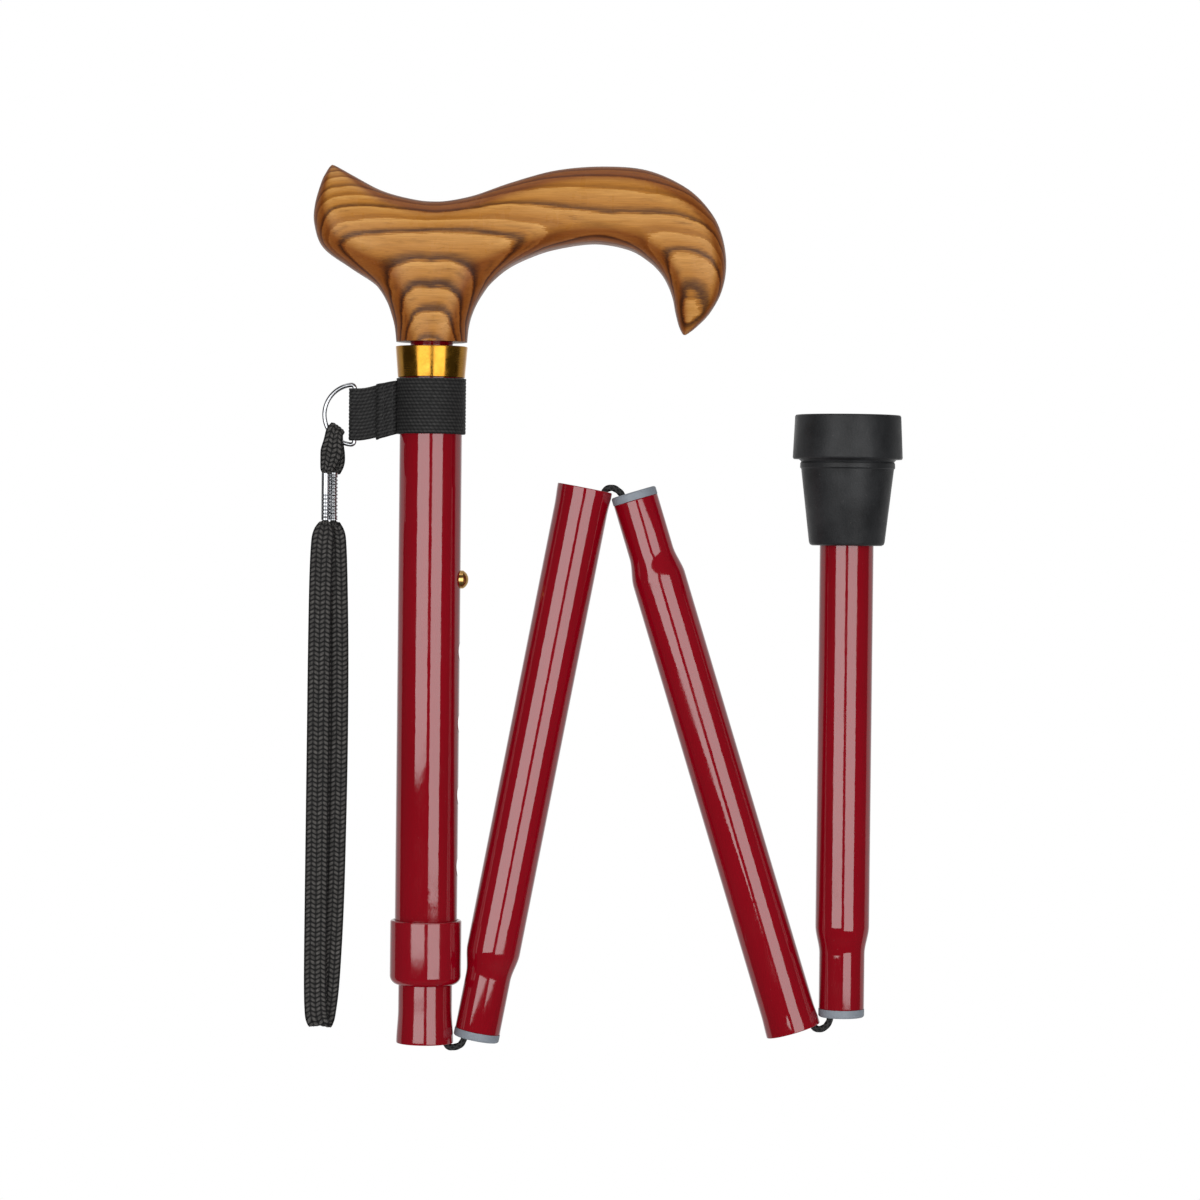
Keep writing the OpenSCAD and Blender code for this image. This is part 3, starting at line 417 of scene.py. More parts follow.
def moulded_material(name, colour, pale, roughness, pebble, depth, dust=0.6):
    """Moulded plastic or rubber: pebbled skin, slow shade changes and settled dust."""
    material, g, s = new_material(name)
    place = g.place()
    skin = use_group(g, "Moulded Skin", {"Place": place, "Pebble": pebble, "Depth": depth})
    marks = use_group(g, "Handling Marks", {"Place": place, "Size": 9.0, "Dust": dust})
    tone = g.mix(skin["Shade"], colour, pale)
    tone = g.mix(g.math("MULTIPLY", marks["Smudge"], 0.35), tone, pale)
    g.put(s["Base Color"], g.mix(g.math("MULTIPLY", marks["Specks"], 0.5), tone, (0.35, 0.34, 0.33)))
    matt = g.math("SUBTRACT", skin["Shade"], marks["Smudge"])
    g.put(s["Roughness"], g.span(matt, -1.0, 1.0, roughness + 0.08, roughness - 0.08))
    g.put(s["Normal"], skin["Normal"])
    s["Specular IOR Level"].default_value = 0.3
    return material


def yarn_material(name, colour, painted_crest_highlight, sheen):
    """Dark synthetic yarn; the thread attribute paints shade into the gaps between threads and a painted
    highlight on the raised crests.
    """
    material, g, s = new_material(name)
    place = g.place()
    yarn = use_group(g, "Yarn Fibres", {"Place": place, "Fuzz": 0.035})
    marks = use_group(g, "Handling Marks", {"Place": place, "Size": 10.0, "Dust": 0.7})
    raised = g.add("Attribute", attribute_name="thread").outputs["Fac"]
    # Painted shade: where the thread value is low, in the gaps between threads, the colour goes nearly black
    lit = g.math("MULTIPLY", g.span(yarn["Shade"], 0.0, 1.0, 0.55, 1.0), g.span(raised, 0.1, 0.8))
    tone = g.mix(lit, (0.003, 0.003, 0.0034), colour)
    # Painted highlight: the raised crests take the pale second colour, standing in for the yarn's shine
    tone = g.mix(g.math("MULTIPLY", g.span(raised, 0.6, 0.95), g.span(yarn["Shade"], 0.1, 0.8)), tone, painted_crest_highlight)
    g.put(s["Base Color"], g.mix(g.math("MULTIPLY", marks["Specks"], 0.4), tone, (0.3, 0.3, 0.3)))
    g.put(s["Roughness"], g.span(yarn["Shade"], 0.0, 1.0, 0.72, 0.5))
    g.put(s["Normal"], yarn["Normal"])
    s["Specular IOR Level"].default_value = 0.2
    s["Sheen Weight"].default_value = sheen
    s["Sheen Roughness"].default_value = 0.4
    return material


# Geometry


def piece(name, points, faces, body, material, replaced=(), sharp=35.0, thread=None, label="thread"):
    """A mesh of points in millimetres, riding on a body; label names the values its material reads."""
    mesh = bpy.data.meshes.new(name)
    mesh.from_pydata([tuple(c * MM for c in p) for p in points], [], faces)
    mesh.validate()
    mesh.materials.append(material)
    mesh.shade_smooth()
    mesh.set_sharp_from_angle(angle=math.radians(sharp))
    if thread is not None:
        attribute = mesh.attributes.new(label, "FLOAT", "POINT")
        attribute.data.foreach_set("value", np.asarray(thread, np.float32))
    obj = bpy.data.objects.new(name, mesh)
    bpy.context.scene.collection.objects.link(obj)
    if replaced:
        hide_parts(*replaced)
    if body:
        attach(obj, body)
    return obj


def grid_faces(rows, columns, close_rows=False, close_columns=False):
    """Quads of a grid of points stored row by row."""
    faces = []
    for i in range(rows if close_rows else rows - 1):
        k = (i + 1) % rows
        for j in range(columns if close_columns else columns - 1):
            m = (j + 1) % columns
            faces.append((i * columns + j, i * columns + m, k * columns + m, k * columns + j))
    return faces


def capped_faces(rows, columns):
    """The faces of a closed outline repeated row by row, with a cap at each end."""
    faces = grid_faces(rows, columns, False, True)
    faces.append(tuple(range(columns))[::-1])
    faces.append(tuple((rows - 1) * columns + j for j in range(columns)))
    return faces


def circle(radius, count):
    turns = [2 * math.pi * j / count for j in range(count)]
    return [(radius * math.cos(a), radius * math.sin(a)) for a in turns]


def directions(p):
    """The unit tangent at each point of a line."""
    t = np.gradient(p, axis=0)
    return t / np.linalg.norm(t, axis=1)[:, None]


def distances(p):
    """How far along a line each of its points lies."""
    return np.concatenate([[0], np.cumsum(np.linalg.norm(np.diff(p, axis=0), axis=1))])


def soften(loop, radius, steps=4, least=25.0):
    """A closed outline with every corner sharper than least degrees rounded off."""
    made = []
    n = len(loop)
    for i in range(n):
        a, b, c = (np.array(loop[(i + k) % n], float) for k in (-1, 0, 1))
        u, v = a - b, c - b
        lu, lv = np.linalg.norm(u), np.linalg.norm(v)
        turn = 180 - math.degrees(math.acos(max(-1.0, min(1.0, float(u @ v) / (lu * lv)))))
        if turn < least:
            made.append(tuple(b))
            continue
        cut = min(radius * math.tan(math.radians(turn / 2)), 0.45 * lu, 0.45 * lv)
        start, finish = b + u / lu * cut, b + v / lv * cut
        for j in range(steps + 1):
            t = j / steps
            made.append(tuple((1 - t) ** 2 * start + 2 * t * (1 - t) * b + t * t * finish))
    return made


def placed(points, place=(0.0, 0.0), angle=0.0):
    """Points turned about Y and moved in the XZ plane, as the sections are."""
    a = math.radians(angle)
    p = np.asarray(points, float)
    x = p[:, 0] * math.cos(a) + p[:, 2] * math.sin(a) + place[0]
    z = -p[:, 0] * math.sin(a) + p[:, 2] * math.cos(a) + place[1]
    return np.stack([x, p[:, 1], z], axis=1)


def lathe(node, loop, body, material, place=(0.0, 0.0), angle=0.0, around=128, sharp=35.0):
    """The form of a turned node: a closed outline of (radius, height) about the section's axis."""
    turns = np.arange(around) * 2 * math.pi / around
    points = [(r * math.cos(t), r * math.sin(t), h) for t in turns for r, h in loop]
    faces = grid_faces(around, len(loop), True, True)
    return piece(node + "_form", placed(points, place, angle), faces, body, material, (node,), sharp)


def drill(obj, heights, reach):
    """Holes along +X through one wall of a tube, cut by cylinders."""
    for z in heights:
        bpy.ops.mesh.primitive_cylinder_add(vertices=48, radius=HOLE_R * MM, depth=reach * MM)
        tool = bpy.context.object
        tool.rotation_euler = (0, math.pi / 2, 0)
        tool.location = (reach / 2 * MM, 0, z * MM)
        cut = obj.modifiers.new("hole", "BOOLEAN")
        cut.operation = "DIFFERENCE"
        cut.solver = "EXACT"
        cut.object = tool
        bpy.context.view_layer.objects.active = obj
        bpy.ops.object.modifier_apply(modifier=cut.name)
        bpy.data.objects.remove(tool)
    obj.data.shade_smooth()
    obj.data.set_sharp_from_angle(angle=math.radians(30))


def spline(p, t):
    """Smooth curve through the rows of p at parameter t, counted in rows."""
    i = min(int(t), len(p) - 2)
    u = t - i
    a, b, c, d = p[max(i - 1, 0)], p[i], p[i + 1], p[min(i + 2, len(p) - 1)]
    return (2 * b + (c - a) * u + (2 * a - 5 * b + 4 * c - d) * u * u + (3 * b - a - 3 * c + d) * u**3) / 2


# Handle stations: outline x and z, far side or ridge x and z, share of the half thickness
BEAK = [
    (-34.9, 12.6, -36.3, 12.3, 0.12), (-31.5, 10.8, -37.8, 9.8, 0.40), (-27.5, 8.6, -39.3, 6.5, 0.60),
    (-20.0, 4.6, -41.5, -1.5, 0.82), (-14.0, 2.4, -41.6, -8.5, 0.92), (-6.5, 0.7, -38.5, -16.5, 0.98),
]
NOSE = [
    (27.5, 7.0, 33.5, -19.4, 0.98), (43.0, 11.4, 43.0, -16.1, 0.95), (59.5, 13.0, 57.0, -14.0, 0.92),
    (75.5, 11.8, 69.0, -15.9, 0.90), (89.5, 5.6, 76.3, -20.0, 0.88), (98.0, -2.8, 80.6, -24.2, 0.85),
    (102.0, -11.2, 83.1, -28.4, 0.81), (103.5, -21.1, 84.8, -33.0, 0.74), (102.0, -30.3, 85.8, -37.9, 0.62),
    (98.0, -37.9, 86.9, -42.1, 0.48), (93.5, -42.7, 87.9, -44.5, 0.30), (90.2, -45.3, 88.8, -45.7, 0.12),
]
SADDLE = [(-1.0, 0.1, -11.0, -12.5, 1.0), (5.5, 0.4, 0.0, -14.0, 1.0), (15.0, 2.5, 13.5, -12.0, 1.0)]
# Neck stations: outline x at the beak's and the nose's side, two heights over the foot, spread, corner
NECK = [
    (-18.2, 18.2, 17.8, 29.0, 0.88, 3.0), (-15.7, 15.7, 13.6, 21.5, 0.66, 2.85),
    (-14.2, 14.0, 9.4, 14.5, 0.36, 2.6), (-13.1, 13.0, 5.2, 7.5, 0.12, 2.3),
]
GRIP_HALF = 15.0
GRIP_CORNER = 3.1


def handle_chain():
    def on_grip(p, ridge, share):
        return (p[0], p[1], ridge[0], ridge[1], share * GRIP_HALF, GRIP_CORNER)

    def middle(s):
        return ((s[0] + s[2]) / 2, (s[1] + s[3]) / 2)

    def neck(s, k):
        return (s[k], FOOT_Z + s[2], 0.0, FOOT_Z + s[3], FOOT_R + (GRIP_HALF - FOOT_R) * s[4], s[5])

    chain = [(FOOT_R, FOOT_Z, 0.0, FOOT_Z, FOOT_R, 2.0)]
    chain += [neck(s, 1) for s in reversed(NECK)]
    chain += [on_grip(p, SADDLE[k][2:4], 1.0) for p, k in (((20.8, -28.0), 1), ((26.3, -23.2), 2))]
    chain += [on_grip(s[2:4], middle(s), s[4]) for s in NOSE]
    chain += [on_grip(s[0:2], middle(s), s[4]) for s in reversed(NOSE)]
    chain += [on_grip(s[0:2], s[2:4], 1.0) for s in reversed(SADDLE)]
    chain += [on_grip(s[0:2], middle(s), s[4]) for s in reversed(BEAK)]
    chain += [on_grip(s[2:4], middle(s), s[4]) for s in BEAK]
    chain += [on_grip(p, SADDLE[k][2:4], 1.0) for p, k in (((-29.2, -23.2), 0), ((-21.1, -28.4), 1))]
    chain += [neck(s, 0) for s in NECK]
    chain += [(-FOOT_R, FOOT_Z, 0.0, FOOT_Z, FOOT_R, 2.0)]
    return np.array(chain)


def make_handle(material):
    chain = handle_chain()
    steps, half = 8, 28  # ribs between two stations, points from a rib's middle to its edge
    ribs, turned = [], []
    for k in range((len(chain) - 1) * steps + 1):
        s = spline(chain, k / steps)
        s[4] = min(s[4], GRIP_HALF)
        power = 2 / s[5]
        rib = []
        for j in range(-half, half + 1):
            a = math.pi / 2 * j / half
            bow = math.cos(a) ** power if abs(j) < half else 0.0
            side = math.copysign(abs(math.sin(a)) ** power, a)
            rib.append((s[2] + (s[0] - s[2]) * bow, s[4] * side, max(FOOT_Z, s[3] + (s[1] - s[3]) * bow)))
            # Face value for the wood's painted shade: 1 on the front and back faces, 0 round the outline, lower
            # where the grip is thin
            full = min(s[4] / (0.8 * GRIP_HALF), 1.0)
            turned.append(abs(math.sin(a)) * (0.84 + 0.16 * full))
        ribs.append(rib)
    columns = 2 * half + 1
    points = [p for rib in ribs for p in rib]
    faces = grid_faces(len(ribs), columns)
    # The foot is a flat ring round the bore that the tube's neck fills
    rim = [j for j in range(columns)] + [(len(ribs) - 1) * columns + j for j in range(columns - 2, 0, -1)]
    bore = []
    for j in rim:
        x, y = points[j][0], points[j][1]
        reach = math.hypot(x, y)
        bore.append((x * NECK_BORE / reach, y * NECK_BORE / reach))
    first = len(points)
    for z in (FOOT_Z, FOOT_Z + NECK_INSERT + 1.0):
        points += [(x, y, z) for x, y in bore]
    n = len(rim)
    for j in range(n):
        k = (j + 1) % n
        faces.append((rim[j], first + j, first + k, rim[k]))
        faces.append((first + j, first + n + j, first + n + k, first + k))
    faces.append(tuple(first + n + j for j in range(n)))
    turned += [0.0] * (len(points) - len(turned))
    obj = piece("handle_form", points, faces, None, material, ("handle",), 50.0, turned, "face")
    weld = obj.modifiers.new("weld", "WELD")
    weld.merge_threshold = 0.00001
    bpy.context.view_layer.objects.active = obj
    bpy.ops.object.modifier_apply(modifier=weld.name)
    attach(obj, "shaft_top")


def section_loop(length, flare, run):
    """Outline of a folding section: spigot, taper, tube and flared mouth, with eased ends."""
    outer = [(SPIGOT_R, LIP_HEIGHT)]
    for k in range(21):
        spread = (TUBE_R - SPIGOT_R) * ease(k / 20)
        outer.append((SPIGOT_R + spread, SPIGOT_LENGTH + TAPER_LENGTH * k / 20))
    outer += [(TUBE_R + flare * ease(k / 12), length - run + run * k / 12) for k in range(13)]
    return walled(outer)


def slide_loop():
    """Outline of the sliding tube with its flared mouth, heights from its lower end."""
    outer = [(TUBE_R + SLIDE_FLARE * ease(1 - k / 14), SLIDE_FLARE_LENGTH * k / 14) for k in range(15)]
    return walled(outer + [(TUBE_R, SLIDE_TOP_Z - SLIDE_END_Z)])


def walled(outer):
    """A tube's closed outline from its outside, with eased ends."""
    inner = [(r - SECTION_WALL, h) for r, h in reversed(outer)]
    return soften(outer + inner, 0.35)


def arc(centre_r, centre_h, radius, start, steps):
    """A quarter round of an outline, anticlockwise from an angle in degrees."""
    turns = [math.radians(start + 90 * k / steps) for k in range(steps + 1)]
    return [(centre_r + radius * math.cos(a), centre_h + radius * math.sin(a)) for a in turns]


def make_upper_tube(red):
    neck_bore, neck_top = NECK_R - 1.4, FOOT_Z + NECK_INSERT
    loop = [(UPPER_BORE, UPPER_END_Z), (UPPER_R, UPPER_END_Z)]
    loop += arc(UPPER_R - SHOULDER_R, SHOULDER_Z - SHOULDER_R, SHOULDER_R, 0, 10)
    loop += [(NECK_R, SHOULDER_Z), (NECK_R, neck_top), (neck_bore, neck_top), (neck_bore, SHOULDER_Z - 1.4)]
    loop += [(UPPER_BORE, SHOULDER_Z - SHOULDER_R - 1.4)]
    tube = lathe("upper_tube", soften(loop, 0.25, 3, 60.0), "shaft_top", red, around=192)
    drill(tube, [BUTTON_Z - HOLE_PITCH * k for k in range(HOLE_COUNT)], 20.0)


def make_folding_tubes(red):
    place = (0.0, SLIDE_END_Z)
    tube = lathe("inner_tube", slide_loop(), "slide", red, place, around=192)
    drill(tube, [BUTTON_Z], 20.0)
    socket = section_loop(SECTION_LENGTH, SOCKET_FLARE, SOCKET_FLARE_LENGTH)
    plain = section_loop(TIP_LENGTH, 0.0, SOCKET_FLARE_LENGTH)
    lathe("second_tube", socket, "second", red, RING_1, SECOND_LEAN)
    lathe("third_tube", socket, "third", red, RING_2, THIRD_LEAN)
    lathe("tip_tube", plain, "tip", red, RING_3)


def make_lock_collar(red_cap):
    bore, exit_bore, edge = UPPER_R + 0.1, TUBE_R + 0.35, 3.2
    loop = [(bore, UPPER_END_Z), (bore, LOCK_TOP_Z - 0.6), (bore + 0.6, LOCK_TOP_Z)]
    loop += [(LOCK_R - 0.4, LOCK_TOP_Z), (LOCK_R, LOCK_TOP_Z - 0.4)]
    loop += [(r, 2 * LOCK_BOTTOM_Z - h) for r, h in arc(LOCK_R - edge, LOCK_BOTTOM_Z - edge, edge, 0, 10)]
    loop += [(exit_bore, LOCK_BOTTOM_Z), (exit_bore, UPPER_END_Z - 10.4), (bore, UPPER_END_Z - 8.4)]
    lathe("lock_collar", soften(loop, 0.2), "lock", red_cap)


def make_handle_collar(gold):
    socket, hole = UPPER_R + 0.1, NECK_R + 0.1
    loop = [
        (11.8, COLLAR_BOTTOM_Z), (12.7, COLLAR_TOP_Z), (hole, COLLAR_TOP_Z), (hole, SHOULDER_Z),
        (socket, SHOULDER_Z), (socket, COLLAR_BOTTOM_Z),
    ]
    lathe("handle_collar", soften(loop, 0.3, 5), "shaft_top", gold, around=160)


def make_end_rings(grey):
    sleeve, end = SPIGOT_R - SECTION_WALL - 0.05, LIP_HEIGHT + 12.0
    loop = arc(LIP_RUN, LIP_EDGE, LIP_EDGE, -90, 8)
    loop += [(LIP_R, LIP_HEIGHT), (sleeve, LIP_HEIGHT), (sleeve, end), (RING_BORE, end)]
    loop += arc(RING_BORE + LIP_EDGE, LIP_EDGE, LIP_EDGE, 180, 8)
    for k, (place, lean, body) in enumerate(SECTIONS):
        lathe(f"end_ring_{k + 1}", loop, body, grey, place, lean, 96)


def make_ferrule(rubber):
    """The tip: heights from its sole, with a rolled rim, a groove, a raised line and mould flash."""
    bore, top = TUBE_R + 0.05, FERRULE_HEIGHT
    outline = []
    for k in range(1, TREAD_COUNT + 1):
        r = SOLE_R * k / (TREAD_COUNT + 1)
        outline += [(r - 1.0, 0.0), (r - 1.0, TREAD_DEPTH), (r + 1.0, TREAD_DEPTH), (r + 1.0, 0.0)]
    outline += [(18.4, 0.0), (SOLE_R, 0.5), (19.38, 15.0), (19.1, 15.55), (17.3, 15.6)]
    outline += [(16.35, 16.4), (16.7, 17.0), (16.75, 18.6), (16.35, 19.0), (13.35, top - 1.2)]
    outline += [(13.0, top - 0.4), (12.2, top), (9.9, top), (bore, top - 0.4)]
    loop = [(ON_AXIS, 0.0)] + soften(outline, 0.3, 3) + [(bore, SOLE_THICKNESS), (ON_AXIS, SOLE_THICKNESS)]
    lathe("ferrule", loop, "tip", rubber, (RING_3[0], SOLE_Z), 180.0, 160, 40.0)


def make_button(brass):
    """The domed button and its flange, turned about +X."""
    tip, r, crown, flange = UPPER_R + BUTTON_PROUD, HOLE_R - 0.1, 1.9, 6.06
    dome = (r * r + crown * crown) / (2 * crown)
    loop = [(ON_AXIS, flange), (4.0, flange), (4.0, flange + 1.0), (r, flange + 1.0)]
    for k in range(13):
        a = math.asin(r / dome) * (1 - k / 12)
        loop.append((max(dome * math.sin(a), ON_AXIS), tip - dome + dome * math.cos(a)))
    lathe("snap_button", loop, "button", brass, (0.0, BUTTON_Z), 90.0, 64)


def untwisted_normals(p):
    """Two normals at each point of an open line, which turn no more than the line does."""
    t = directions(p)
    first = np.cross(t[0], (0.0, 1.0, 0.0))
    if np.linalg.norm(first) < 1e-3:
        first = np.cross(t[0], (1.0, 0.0, 0.0))
    normals = [first / np.linalg.norm(first)]
    for k in range(1, len(p)):
        n = normals[-1] - t[k] * float(normals[-1] @ t[k])
        normals.append(n / np.linalg.norm(n))
    n = np.array(normals)
    return n, np.cross(t, n)


def sweep(path, radius, sides, relief=None):
    """Points, faces and thread values of a round tube along a path, with both ends closed."""
    p = np.asarray(path, float)
    n, b = untwisted_normals(p)
    run = distances(p)
    points, values = [], []
    for k in range(len(p)):
        for j in range(sides):
            a = 2 * math.pi * j / sides
            lift, value = relief(run[k], a) if relief else (0.0, 1.0)
            points.append(p[k] + (radius + lift) * (math.cos(a) * n[k] + math.sin(a) * b[k]))
            values.append(value)
    return points, capped_faces(len(p), sides), values


def smooth_path(points, step):
    """Evenly spaced points along the smooth curve through the given ones."""
    p = np.array(points, float)
    fine = np.array([spline(p, t) for t in np.linspace(0, len(p) - 1, 40 * len(p))])
    run = distances(fine)
    count = max(int(run[-1] / step), 3)
    at = np.linspace(0, run[-1], count)
    return np.stack([np.interp(at, run, fine[:, k]) for k in range(fine.shape[1])], axis=1)


def cord_relief(length, a):
    """Braided cover of a round elastic cord: two sets of crossing strands."""
    strands, pace, depth = 4, 2.6, 0.09
    one = math.cos(strands * a + length * pace)
    two = math.cos(strands * a - length * pace)
    value = max(one, two) * 0.5 + 0.5
    return depth * (value - 1), 0.25 + 0.75 * value


def flat(points):
    """Two coordinates in the XZ plane as three."""
    return [(x, 0.0, z) for x, z in points]


# The elastic cord's open bends, x and z from a mouth to the next ring
BEND_1 = [
    (6.85, -288.9), (7.2, -293.5), (7.5, -296.6), (8.6, -298.0), (10.6, -298.1), (12.6, -297.3),
    (13.8, -295.4), (14.3, -293.3), (14.5, -292.2),
]
BEND_2 = [
    (59.9, -108.9), (60.9, -104.2), (61.3, -101.7), (62.3, -100.3), (64.3, -99.9), (66.2, -100.8),
    (67.7, -102.4), (68.35, -104.6),
]
BEND_3 = [
    (134.6, -281.4), (136.3, -286.7), (137.4, -289.5), (139.4, -290.4), (141.5, -289.6), (142.9, -287.7),
    (143.2, -285.8), (143.05, -283.7),
]


def make_cord_bends(black):
    """The open bends between the sections; they ride on no body."""
    bends = (
        ("cord_bend_1", BEND_1, "slide", "second"),
        ("cord_bend_2", BEND_2, "second", "link_2"),
        ("cord_bend_3", BEND_3, "third", "link_3"),
    )
    for node, line, a, b in bends:
        path = smooth_path(flat(line), 0.16)
        points, faces, values = sweep(path, CORD_R, 48, cord_relief)
        obj = piece(node + "_form", points, faces, None, black, (node,), 60.0, values)
        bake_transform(obj)


def make_cord_runs(black):
    """The cord inside the sections, from each ring to the next mouth."""
    ring_side, mouth_wall = RING_BORE - CORD_R - 0.1, SOCKET_R - CORD_R - 0.15
    ring_inset, mouth_inset = 2.5, 8.0
    slide_exit = SLIDE_END + mouth_wall * across(0.0) + mouth_inset * along(0.0)
    second_entry = RING_1 - ring_side * across(SECOND_LEAN) + ring_inset * along(SECOND_LEAN)
    second_exit = SECOND_END + mouth_wall * across(SECOND_LEAN) - mouth_inset * along(SECOND_LEAN)
    third_entry = RING_2 + ring_side * across(THIRD_LEAN) + ring_inset * along(THIRD_LEAN)
    third_exit = THIRD_END - mouth_wall * across(THIRD_LEAN) - mouth_inset * along(THIRD_LEAN)
    tip_entry = RING_3 - ring_side * across(0.0) + ring_inset * along(0.0)
    tip_x, tip_plug_top = RING_3[0], TIP_PLUG_Z + PLUG_HEIGHT
    runs = (
        ("cord_run_1", [(0.0, TOP_PLUG_Z), (0.0, TOP_PLUG_Z - PLUG_HEIGHT - CORD_LEAD), slide_exit], "slide"),
        ("cord_run_2", [second_entry, second_exit], "second"),
        ("cord_run_3", [third_entry, third_exit], "third"),
        ("cord_run_4", [tip_entry, (tip_x, TIP_PLUG_Z - CORD_LEAD), (tip_x, tip_plug_top)], "tip"),
    )
    for node, line, body in runs:
        p = np.array(flat(line))
        path = np.concatenate([np.linspace(p[k], p[k + 1], 60) for k in range(len(p) - 1)])
        keep = [0] + [k for k in range(1, len(path)) if np.linalg.norm(path[k] - path[k - 1]) > 1e-6]
        points, faces, values = sweep(path[keep], CORD_R, 24, cord_relief)
        piece(node + "_form", points, faces, body, black, (node,), 60.0, values)


# Webbing band: its thread rows, its threads' length and the size of a mesh cell
WEB_ROW = 1.23
WEB_STEP = 1.5
WEB_CELL = 0.22
# The tab from the tube to the ring's bar, x and y of its back layer's middle
TAB = [
    (-BAND_R - 0.3, 0.62), (-14.0, 0.62), (-18.0, 0.62), (-22.0, 0.66),
    (BAR_X + 1.6, 1.1), (BAR_X, 1.5), (BAR_X - 1.1, 1.05), (BAR_X - 1.5, 0.02),
]
# The sewn end's bulge, x and y from the tube out
FLAP = [
    (-11.9, -2.0), (-12.8, -3.0), (-14.4, -3.3), (-16.0, -2.7), (-16.9, -2.9), (-18.2, -2.6), (-18.9, -1.7),
]


def half_round(x):
    """The height of a round thread across its width, x from -0.5 to 0.5."""
    return np.sqrt(np.clip(1 - (1.9 * x) ** 2, 0, 1))


def weave_relief(along_band, up):
    """Rib weave: rows of slanted threads. Returns lift and how raised the thread is."""
    row = np.floor(up / WEB_ROW)
    v = up / WEB_ROW - row - 0.5
    u = along_band / WEB_STEP + 0.5 * (row % 2) + 0.6 * v
    u = u - np.floor(u) - 0.5
    body = half_round(v) * (0.35 + 0.65 * half_round(u))
    return 0.32 * (body - 1), 0.05 + 0.95 * body


def web_section(rows):
    """The strip's outline: share of its height, side, and how far round a rounded edge."""
    rounding = 6
    loop = []
    for side, edge in ((1, 1.0), (-1, 0.0)):
        loop += [(abs(1 - edge - k / rows), side, 0.0) for k in range(rows + 1)]
        for k in range(1, rounding):
            a = math.pi * k / rounding
            loop.append((edge, side * math.cos(a), math.sin(a)))
    return loop


def webbing(name, line, low, high, thickness, web, replaced=()):
    """Webbing on edge along a plan line; low and high give its heights by share of the line."""
    plan = smooth_path(line, WEB_CELL)
    t = directions(plan)
    out = np.stack([t[:, 1], -t[:, 0]], axis=1)
    run = distances(plan)
    lows, highs = (np.array([edge(share) for share in run / run[-1]]) for edge in (low, high))
    loop = web_section(int((highs - lows).max() / WEB_CELL))
    points, values = [], []
    for k in range(len(plan)):
        for v, side, turn in loop:
            face, up = abs(side) == 1, v * (highs[k] - lows[k])
            lift, raised = weave_relief(run[k] + (0.5 if side < 0 else 0.0), up)
            half = thickness / 2 + (float(lift) if face else 0.0)
            x, y = plan[k] + out[k] * half * side
            points.append((x, y, lows[k] + up + 0.2 * (turn - 1) * (1 if v == 1.0 else -1)))
            values.append(float(raised) if face else 0.6 + 0.4 * math.sin(run[k] * 6.0))
    faces = capped_faces(len(plan), len(loop))
    piece(name, points, faces, "band", web, replaced, 70.0, values)


def make_band(web):
    """The band: one webbing strip round the tube, out to the ring's bar and back, with a sewn flap."""
    top, bottom = BAND_TOP_Z, BAND_TOP_Z - BAND_H
    tab_top, bar_top, bar_bottom = top - 0.8, BAR_Z + 9.3, BAR_Z - 9.1
    middle = BAND_R + 0.6
    ring = [(middle * math.cos(a), middle * math.sin(a)) for a in np.radians(range(186, 535, 6))]
    webbing("strap_band_loop", ring, lambda s: bottom, lambda s: top, 1.2, web, ("strap_band",))
    for name, side in (("strap_tab_front", -1), ("strap_tab_back", 1)):
        webbing(
            name, [(x, side * y) for x, y in TAB],
            lambda s: bottom + (bar_bottom - bottom) * ease(s * 1.2),
            lambda s: tab_top + (bar_top - tab_top) * ease(s * 1.25),
            1.15, web,
        )
    webbing("strap_flap", FLAP, lambda s: bottom - 2.2 * s, lambda s: tab_top - 1.4 * s, 1.1, web)


def make_stitches(thread):
    """Two rows of stitches through the flap; each one dips into the webbing at both ends."""
    pitch, dip, thread_r = 1.9, 0.22, 0.16
    stitches, faces, values = [], [], []
    for x in (-13.5, -16.6):
        y = float(np.interp(-x, [-p[0] for p in FLAP], [p[1] for p in FLAP])) - 0.45
        for k in range(9):
            z = BAND_TOP_Z - 3.0 - pitch * k
            line = [(x, y, z), (x, y - dip, z - 0.35), (x, y - dip, z - 1.05), (x, y, z - 1.4)]
            p, f, v = sweep(smooth_path(line, 0.12), thread_r, 10)
            faces += [tuple(c + len(stitches) for c in face) for face in f]
            stitches += list(p)
            values += v
    piece("strap_stitches", stitches, faces, "band", thread, (), 60.0, values)


